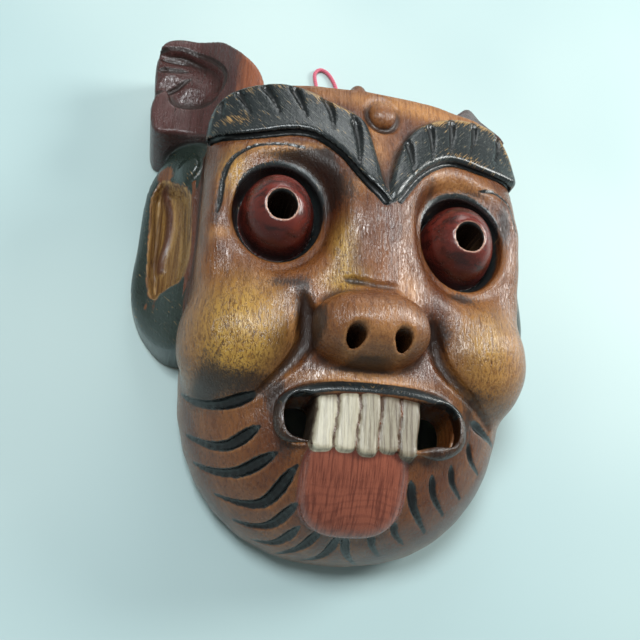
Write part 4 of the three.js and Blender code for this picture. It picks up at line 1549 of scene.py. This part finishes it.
class Carving:
    """The whole mask as one piece of wood."""

    triangle_budget = 190000
    fine_step = 0.9
    coarse_step = 1.5
    front = 60.0
    recess_reach = 3.4
    crest_reach = 2.0

    def __init__(self) -> None:
        """Gathers the forms that are carved out of the block."""
        self.head = Head()
        self.eyes = Eyes()
        self.brows = Brows()
        self.mouth = Mouth()
        self.ears = Ears()
        self.curls = Curls()
        self.ornaments = Ornaments()
        self.hollow = Hollow()
        self.gouging = Gouging()
        self.stains_and_shadow = StainsAndShadow()
        self.tracks: Dict[str, List[Tuple[Array, Array]]] = {}

    def carve(self, step: float) -> WoodGrid:
        """Carves the block.

        Args:
            step: Distance between grid points.

        Returns:
            The carved grid.
        """
        wood = WoodGrid((-106.0, -80.0, -3.3 * step), (105.0, 184.0, 106.0), step)
        _, x, y, z = wood.window((-200, -200, -200), (200, 200, 200))
        wood.values = np.minimum(self.head.body(x, y, z), FAR).astype(np.float32)
        wood.join(self.head.cheeks, (-84, -30, 4), (84, 46, 88), 5)
        wood.cut(self.head.basins, (-76, 14, 58), (76, 98, 106), 6)
        wood.join(self.head.nose_bridge, (-28, -8, 60), (28, 88, 104), 10)
        wood.join(self.head.nose, (-34, -24, 54), (30, 30, 106), 3)
        wood.values += self.handwork(x, y, z)
        self.eyes.carve(wood, self.head)
        self.brows.carve(wood, self.head)
        self.mouth.carve(wood)
        self.ornaments.carve(wood)
        self.ears.carve(wood)
        self.curls.carve(wood)
        self.tracks = self.gouging.carve(wood, self.head, self.brows)
        self.hollow.carve(wood, self.head)
        self.eyes.bore(wood, self.head)
        self.nostrils(wood)
        self.cord_holes(wood)
        wood.values = np.maximum(wood.values, -z).astype(np.float32)
        return wood

    @staticmethod
    def handwork(x: Array, y: Array, z: Array) -> Array:
        """The slight unevenness of a face finished by hand."""
        uneven = np.sin(x * 0.33 + 0.7) * np.sin(y * 0.29 + z * 0.2) + np.sin(x * 0.21 - y * 0.37 + 2)
        return (uneven * 0.09).astype(np.float32)

    def nostrils(self, wood: WoodGrid) -> None:
        """Drills the nostrils through to the hollow."""
        head = self.head
        radius = head.nostril_bore / 2
        for side in (-1, 1):
            nx = head.snout[0] + side * head.nostril[0]
            ny = head.nostril[1]

            def drill(x: Array, y: Array, z: Array) -> Array:
                """Distances to the drill, widening at the surface."""
                flare = head.nostril_flare * np.maximum(z - head.flare_from, 0)
                return np.hypot(x - nx, y - ny) - radius - flare

            wood.cut(drill, (nx - 9, ny - 9, 10), (nx + 9, ny + 9, 108), 1.0)

    def cord_holes(self, wood: WoodGrid) -> None:
        """Drills the two holes that hold the ends of the loop."""
        loop = HangingLoop()
        bottom = loop.crown - loop.depth
        for cx, _, cz in (loop.route[0], loop.route[-1]):

            def drill(x: Array, y: Array, z: Array) -> Array:
                """Distances to the drill."""
                return np.maximum(np.hypot(x - cx, z - cz) - loop.bore / 2, bottom - y)

            wood.cut(drill, (cx - 4, bottom - 2, cz - 5), (cx + 4, loop.crown + 4, cz + 5), 0.2)

    def marks(self, wood: WoodGrid, points: Array) -> Dict[str, Array]:
        """What the finish needs to know at each point of the skin.

        Args:
            wood: The carved grid.
            points: The skin's points in drawing millimetres.

        Returns:
            One value for each point, by name.
        """
        z = points[:, 2]
        scoop = self.hollow.form(self.head)(*points.T)
        raw = np.clip(ramp(1.6, 0.6, np.abs(scoop)) * ramp(60, 50, z) + ramp(0.6, 0.2, z), 0, 1)
        return {
            **self.brow_marks(points), **self.eye_marks(points), **self.mouth_marks(points),
            **self.ear_and_curl_marks(points),
            # Painted shade down the pupils, the nostrils and the mouth.
            "hole_painted_shade": np.maximum(self.bored(points), self.inside_mouth(points)),
            "black_line": self.nearest(self.tracks["black"], points),
            "brown_line": self.nearest(self.tracks["brown"] + self.curls.tracks(), points),
            "groove": self.nearest(self.tracks["groove"], points),
            # How hollow the wood round each point is; the finish lays painted shade by it.
            "recess": wood.sample(wood.hollowness(self.recess_reach), points),
            "crest": wood.sample(wood.hollowness(self.crest_reach), points),
            "raw": raw,
            "gold": StainsAndShadow.total(self.stains_and_shadow.gold, points), "dark": StainsAndShadow.total(self.stains_and_shadow.dark, points),
            "tan": StainsAndShadow.total(self.stains_and_shadow.tan, points), "red": StainsAndShadow.total(self.stains_and_shadow.red, points),
        }

    def brow_marks(self, points: Array) -> Dict[str, Array]:
        """Where the brows lie, and where their paint is worn off."""
        x, y, z = points.T
        left, right = self.brows.outlines()
        on_front = z > self.front
        brow = np.minimum(plan_distance(left, x, y), plan_distance(right, x, y))
        brow = np.where(on_front, brow, FAR)
        above = np.where(on_front & (y > 90), 1.0, 0.0)
        wear = np.exp(-np.abs(brow + 1.6) / 2.4) * above * ramp(104, 116, y + np.abs(x) * 0.1)
        wear = wear * np.where(x > 0, 1.0, 0.45 + 0.55 * ramp(-40, -26, x))
        for spot in self.stains_and_shadow.worn:
            u, v = (x - spot.x) / spot.wide, (y - spot.y) / spot.high
            wear = np.maximum(wear, spot.strength * np.exp(-(u * u + v * v)))
        return {"brow": np.clip(brow, -FAR, FAR), "wear": wear}

    def eye_marks(self, points: Array) -> Dict[str, Array]:
        """Where the eyeballs, their dark rings and the edges of the pupils lie, and the painted shade low on
        each eyeball.
        """
        x, y, z = points.T
        ball = np.full(len(points), FAR)
        ring = np.full(len(points), FAR)
        pupil = np.full(len(points), FAR)
        ball_painted_shade = np.zeros(len(points))
        on_front = z > self.front
        for side in (-1, 1):
            cx, cy, _ = self.eyes.centre(side, self.head)
            rx, ry, _ = self.eyes.radii
            surface = self.eyes.ball(side, self.head)(x, y, z)
            ball = np.minimum(ball, np.where(on_front, np.abs(surface), FAR))
            # Painted shade on the lower left of each eyeball.
            shaded = ramp(-2.0, -20.0, (y - cy) + 0.45 * (x - cx)) * (np.abs(x - cx) < rx + 4)
            ball_painted_shade = np.maximum(ball_painted_shade, shaded)
            turn = (np.hypot((x - cx) / rx, (y - cy) / ry) - 1) * rx
            ring = np.minimum(ring, np.where(on_front, turn - 3.0 - 1.6 * ramp(cy, cy + 16, y), FAR))
            pupil = np.minimum(pupil, np.where(on_front, self.from_pupil(side, x, y), FAR))
        return {"ball": ball, "eye_ring": ring, "pupil": pupil, "ball_painted_shade": ball_painted_shade}

    def from_pupil(self, side: int, x: Array, y: Array) -> Array:
        """Distances in plan to the edge of one pupil, negative inside."""
        bored = np.hypot(x - side * self.eyes.pupil[0], y - self.eyes.pupil[1] + self.head.eye_drop(x))
        return bored - self.eyes.pupil_bore / 2

    def bored(self, points: Array) -> Array:
        """How far a point lies down a pupil or a nostril, from 0 to 1, for the painted shade there."""
        x, y, z = points.T
        hole_painted_shade = np.zeros(len(points))
        for side in (-1, 1):
            hole_painted_shade = np.maximum(hole_painted_shade, ramp(0.35, 0.0, self.from_pupil(side, x, y)) * ramp(86.5, 84.5, z))
            nx = self.head.snout[0] + side * self.head.nostril[0]
            nostril = np.hypot(x - nx, y - self.head.nostril[1]) - self.head.nostril_bore / 2
            hole_painted_shade = np.maximum(hole_painted_shade, ramp(0.5, 0.0, nostril) * ramp(101, 98, z))
        return hole_painted_shade

    def inside_mouth(self, points: Array) -> Array:
        """How far a point lies down in the mouth, from 0 to 1."""
        x, y, z = points.T
        return ramp(74, 66, z) * ramp(0.0, -2.0, plan_distance(self.mouth.ring()[:, :2], x, y))

    def mouth_marks(self, points: Array) -> Dict[str, Array]:
        """Where the lips, the black line over them, the teeth and the tongue lie."""
        x, y, z = points.T
        crest = plan_distance(self.mouth.ring()[:, :2], x, y)
        upper = (y > self.mouth.middle[1] + 4) & (z > 68)
        return {
            "lips": np.clip(self.mouth.lips(x, y, z), -FAR, FAR),
            "lip_line": np.where(upper & (z < 80), np.abs(crest - 1.3) - 2.1, FAR),
            "mouth_end": ramp(14, 28, np.abs(x - self.mouth.middle[0])),
            "teeth": np.where((z > 50) & (z < 80), np.abs(self.mouth.row(x, y, z)), FAR),
            "tongue": np.abs(self.mouth.tongue_form(x, y, z)),
        }

    def ear_and_curl_marks(self, points: Array) -> Dict[str, Array]:
        """Where the ears and curls lie, with the ears' floor, ridge and worn ledges."""
        x, y, z = points.T
        head = self.head(x, y, z)
        outline, floor, _ = self.ears.loops()
        ax = -np.abs(x)
        plan = plan_distance(outline, ax, y)
        ear = np.maximum(np.maximum(plan - 0.8, 1.2 - head), z - self.ears.top(ax, y, plan) - 1.0)
        in_floor = plan_distance(floor, ax, y)
        ledge = np.where((ax > -77.4) & (y > 46) & (y < 98), 4.0, -FAR)
        ledge = np.maximum(ledge, 3.4 - np.hypot(ax + 90.5, (y - 34.5) * 1.6))
        ledge = np.maximum(ledge, 4.4 - np.hypot(ax + 91.5, y - 108.5))
        curl = np.full(len(points), FAR)
        orange = np.zeros(len(points))
        for side in (-1, 1):
            u, v = self.curls.spot(side, x, y)
            plan = plan_distance(self.curls.loops()[0], u, v)
            curl = np.minimum(curl, np.maximum(plan - 0.6, 1.0 - head))
            band = ramp(-68, -54, u) + 0.3 * np.exp(-(((v - 132) / 5) ** 2)) * ramp(-98, -84, u)
            orange = np.maximum(orange, np.clip(band, 0, 1) * (side * x > 0))
        curl = np.maximum(curl, -ear)
        painted = np.where(z > 1.0, ear, FAR)
        return {
            "ear_floor": np.clip(np.maximum(ear, in_floor), -FAR, FAR),
            "ear_paint": np.clip(np.maximum(np.maximum(painted, -in_floor), ledge), -FAR, FAR),
            "ear_ridge": line_distance(through(self.ears.ridge, 5), ax, y),
            "curl": np.clip(curl, -FAR, FAR), "curl_orange": orange,
        }

    def nearest(self, tracks: List[Tuple[Array, Array]], points: Array) -> Array:
        """Distances to the nearest of several gouges' tracks."""
        gaps = np.full(len(points), FAR)
        for line, radii in tracks:
            gaps = np.minimum(gaps, self.near(line, radii, points))
        return gaps

    @staticmethod
    def near(line: Array, radii: Array, points: Array) -> Array:
        """Distances to a gouge's track, worked out only for the points close to it."""
        room = float(radii.max()) + FAR / 2
        close = ((points > line.min(0) - room) & (points < line.max(0) + room)).all(axis=1)
        gaps = np.full(len(points), FAR)
        px, py, pz = points[close].T
        gaps[close] = track_distance(line, radii, px, py, pz)
        return gaps

    def build(self, quick: bool) -> bpy.types.Object:
        """Carves the mask and makes it a finished piece.

        Args:
            quick: Whether a coarse carving will do.

        Returns:
            The piece, riding on the body.
        """
        wood = self.carve(self.coarse_step if quick else self.fine_step)
        points, faces = wood.skin()
        log.info("skin of %d points, %d faces", len(points), len(faces))
        piece = mesh_piece("carved_mask", to_metres(points), faces)
        triangles = 2 * len(faces)
        if triangles > self.triangle_budget:
            thin = piece.modifiers.new("thin_out", "DECIMATE")
            thin.ratio = self.triangle_budget / triangles
            bpy.ops.object.modifier_apply(modifier=thin.name)
        mesh = piece.data
        count = len(mesh.vertices)
        placed = np.zeros(count * 3)
        mesh.vertices.foreach_get("co", placed)
        drawn = placed.reshape(-1, 3) * 1000 + np.array([MIDDLE_X, MIDDLE_Y, 0.0])
        for name, values in self.marks(wood, drawn).items():
            layer = mesh.attributes.new(name, "FLOAT", "POINT")
            layer.data.foreach_set("value", np.asarray(values, np.float32))
        bpy.ops.object.shade_smooth()
        mesh.materials.append(LacqueredCarving().material())
        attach(piece, "root")
        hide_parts("mask")
        log.info("%s has %d points and %d faces", piece.name, count, len(mesh.polygons))
        return piece


def mesh_piece(name: str, points: Array, faces: Array) -> bpy.types.Object:
    """Makes an object of four-sided faces and leaves it alone selected.

    Args:
        name: The object's name.
        points: Its points in metres.
        faces: Four point numbers to a row.

    Returns:
        The object.
    """
    mesh = bpy.data.meshes.new(name)
    mesh.vertices.add(len(points))
    mesh.vertices.foreach_set("co", np.ascontiguousarray(points, np.float32).ravel())
    mesh.loops.add(4 * len(faces))
    mesh.loops.foreach_set("vertex_index", np.ascontiguousarray(faces, np.int32).ravel())
    mesh.polygons.add(len(faces))
    mesh.polygons.foreach_set("loop_start", np.arange(0, 4 * len(faces), 4, dtype=np.int32))
    mesh.update(calc_edges=True)
    mesh.validate()
    piece = bpy.data.objects.new(name, mesh)
    bpy.context.scene.collection.objects.link(piece)
    bpy.ops.object.select_all(action="DESELECT")
    bpy.context.view_layer.objects.active = piece
    piece.select_set(True)
    return piece


@dataclass
class HangingLoop:
    """A loop of pink cord out of two holes in the crown, lying on the table."""

    diameter: float = 2.2
    bore: float = 3.2
    depth: float = 7.0
    crown: float = 127.0
    route: Tuple[Point, ...] = (
        (9, -6, 9), (9, 0, 9), (9, 5, 8.2), (8.4, 11, 5), (7.6, 18, 2), (6.8, 26, 1.25), (5, 42, 1.25),
        (3, 56, 1.25), (1, 67, 1.25), (-2.2, 76, 1.25), (-5.9, 81, 1.25), (-9.8, 82.2, 1.25),
        (-12.9, 78.8, 1.25), (-12.4, 71.5, 1.25), (-9.4, 60, 1.25), (-5.6, 45, 1.25), (-2.8, 28, 1.25),
        (-1.4, 18, 2), (-0.6, 11, 5), (0, 5, 8.2), (0, 0, 9), (0, -6, 9),
    )
    steps: int = 14
    sides: int = 14
    plies: int = 3
    ply_depth: float = 0.07
    twist: float = 5.0

    def build(self) -> bpy.types.Object:
        """Makes the cord as a twisted tube along its route.

        Returns:
            The piece.
        """
        points = np.array(self.route, float) + np.array([0.0, self.crown, 0.0])
        line = to_metres(through(points, self.steps))
        along = np.gradient(line, axis=0)
        along /= np.linalg.norm(along, axis=1)[:, None]
        up = np.array([0.0, 0.0, 1.0])
        across = np.cross(along, up)
        across /= np.linalg.norm(across, axis=1)[:, None]
        rise = np.cross(across, along)
        travelled = np.concatenate([[0], np.cumsum(np.linalg.norm(np.diff(line, axis=0), axis=1))])
        turns = np.linspace(0, 2 * np.pi, self.sides, endpoint=False)
        phase = turns[None, :] - travelled[:, None] * 2000 * np.pi / self.twist
        ply = 0.5 + 0.5 * np.cos(self.plies * phase)
        radius = self.diameter / 2000 * (1 - self.ply_depth + self.ply_depth * ply)
        side_part = across[:, None, :] * np.cos(turns)[None, :, None]
        rise_part = rise[:, None, :] * np.sin(turns)[None, :, None]
        skin = line[:, None, :] + radius[:, :, None] * (side_part + rise_part)
        rings, sides = skin.shape[:2]
        i, j = np.meshgrid(np.arange(rings - 1), np.arange(sides), indexing="ij")
        k = (j + 1) % sides
        faces = np.stack([i * sides + j, (i + 1) * sides + j, (i + 1) * sides + k, i * sides + k], -1)
        piece = mesh_piece("cord_loop", skin.reshape(-1, 3), faces.reshape(-1, 4))
        bpy.ops.object.mode_set(mode="EDIT")
        bpy.ops.mesh.select_all(action="SELECT")
        bpy.ops.mesh.fill_holes(sides=0)
        bpy.ops.mesh.normals_make_consistent(inside=False)
        bpy.ops.object.mode_set(mode="OBJECT")
        layer = piece.data.attributes.new("ply", "FLOAT", "POINT")
        layer.data.foreach_set("value", ply.astype(np.float32).ravel())
        bpy.ops.object.shade_smooth()
        piece.data.materials.append(CordFinish().material())
        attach(piece, "root")
        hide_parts("hanging_loop")
        log.info("%s is %.1f mm long", piece.name, travelled[-1] * 1000)
        return piece


@dataclass(frozen=True)
class Lamp:
    """A soft area light that looks at the mask."""

    name: str
    place: Point
    size: float
    power: float
    colour: Colour

    def build(self) -> None:
        """Hangs the light."""
        light = bpy.data.lights.new(self.name, "AREA")
        light.shape = "DISK"
        light.size = self.size
        light.energy = self.power
        light.color = self.colour
        lamp = bpy.data.objects.new(self.name, light)
        lamp.location = self.place
        lamp.rotation_euler = Vector(self.place).to_track_quat("Z", "Y").to_euler()
        bpy.context.scene.collection.objects.link(lamp)


@dataclass
class Studio:
    """Pale glazed table, soft light and the camera."""

    camera_place: Point = (-79.3, -111.4, 347.0)
    camera_right: Point = (0.9763, 0.0210, 0.2154)
    camera_up: Point = (-0.1059, 0.9142, 0.3911)
    camera_back: Point = (-0.1887, -0.4046, 0.8948)
    focal_pixels: float = 751.0
    image_pixels: float = 640.0
    sensor_width: float = 36.0
    table_size: float = 6.0
    table_drop: float = 0.00005
    lamps: Tuple[Lamp, ...] = field(default_factory=lambda: (
        Lamp("back_window", (0.1, 1.25, 0.8), 0.7, 3.6, (0.96, 1.0, 1.0)),
        Lamp("right_window", (1.0, 0.4, 0.65), 0.5, 10.4, (0.98, 1.0, 0.97)),
        Lamp("top_window", (-0.3, 0.15, 1.2), 0.4, 9.6, (0.92, 0.98, 1.0)),
    ))
    sky: Colour = (0.78, 0.86, 0.86)
    sky_strength: float = 0.26

    def camera(self) -> None:
        """Sets the camera over the lying mask."""
        lens = bpy.data.cameras.new("camera")
        lens.sensor_width = self.sensor_width
        lens.lens = self.focal_pixels / self.image_pixels * self.sensor_width
        lens.clip_start = 0.01
        camera = bpy.data.objects.new("camera", lens)
        spot = to_metres(np.array([self.camera_place]))[0]
        rows = zip(self.camera_right, self.camera_up, self.camera_back, spot)
        camera.matrix_world = Matrix((*rows, (0.0, 0.0, 0.0, 1.0)))
        bpy.context.scene.collection.objects.link(camera)
        bpy.context.scene.camera = camera

    def light(self) -> None:
        """Sets the lamps and the light of the room."""
        for lamp in self.lamps:
            lamp.build()
        world = bpy.data.worlds.new("room")
        world.use_nodes = True
        backdrop = world.node_tree.nodes["Background"]
        backdrop.inputs["Color"].default_value = (*self.sky, 1.0)
        backdrop.inputs["Strength"].default_value = self.sky_strength
        bpy.context.scene.world = world
        bpy.context.scene.view_settings.view_transform = "Standard"

    def table(self) -> None:
        """Lays the table top."""
        bpy.ops.object.select_all(action="DESELECT")
        bpy.ops.mesh.primitive_grid_add(
            x_subdivisions=8, y_subdivisions=8, size=self.table_size, location=(0, 0, -self.table_drop)
        )
        table = bpy.context.object
        table.name = "table_top"
        bpy.ops.object.transform_apply(location=True)
        table.data.materials.append(TableFinish().material())


def main() -> None:
    """Builds the studio, the cord and the carving, and notes the sizes."""
    logging.basicConfig(level=logging.INFO, format="%(message)s")
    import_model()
    studio = Studio()
    studio.camera()
    HangingLoop().build()
    Carving().build(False)
    studio.light()
    studio.table()


if __name__ == "__main__":
    main()
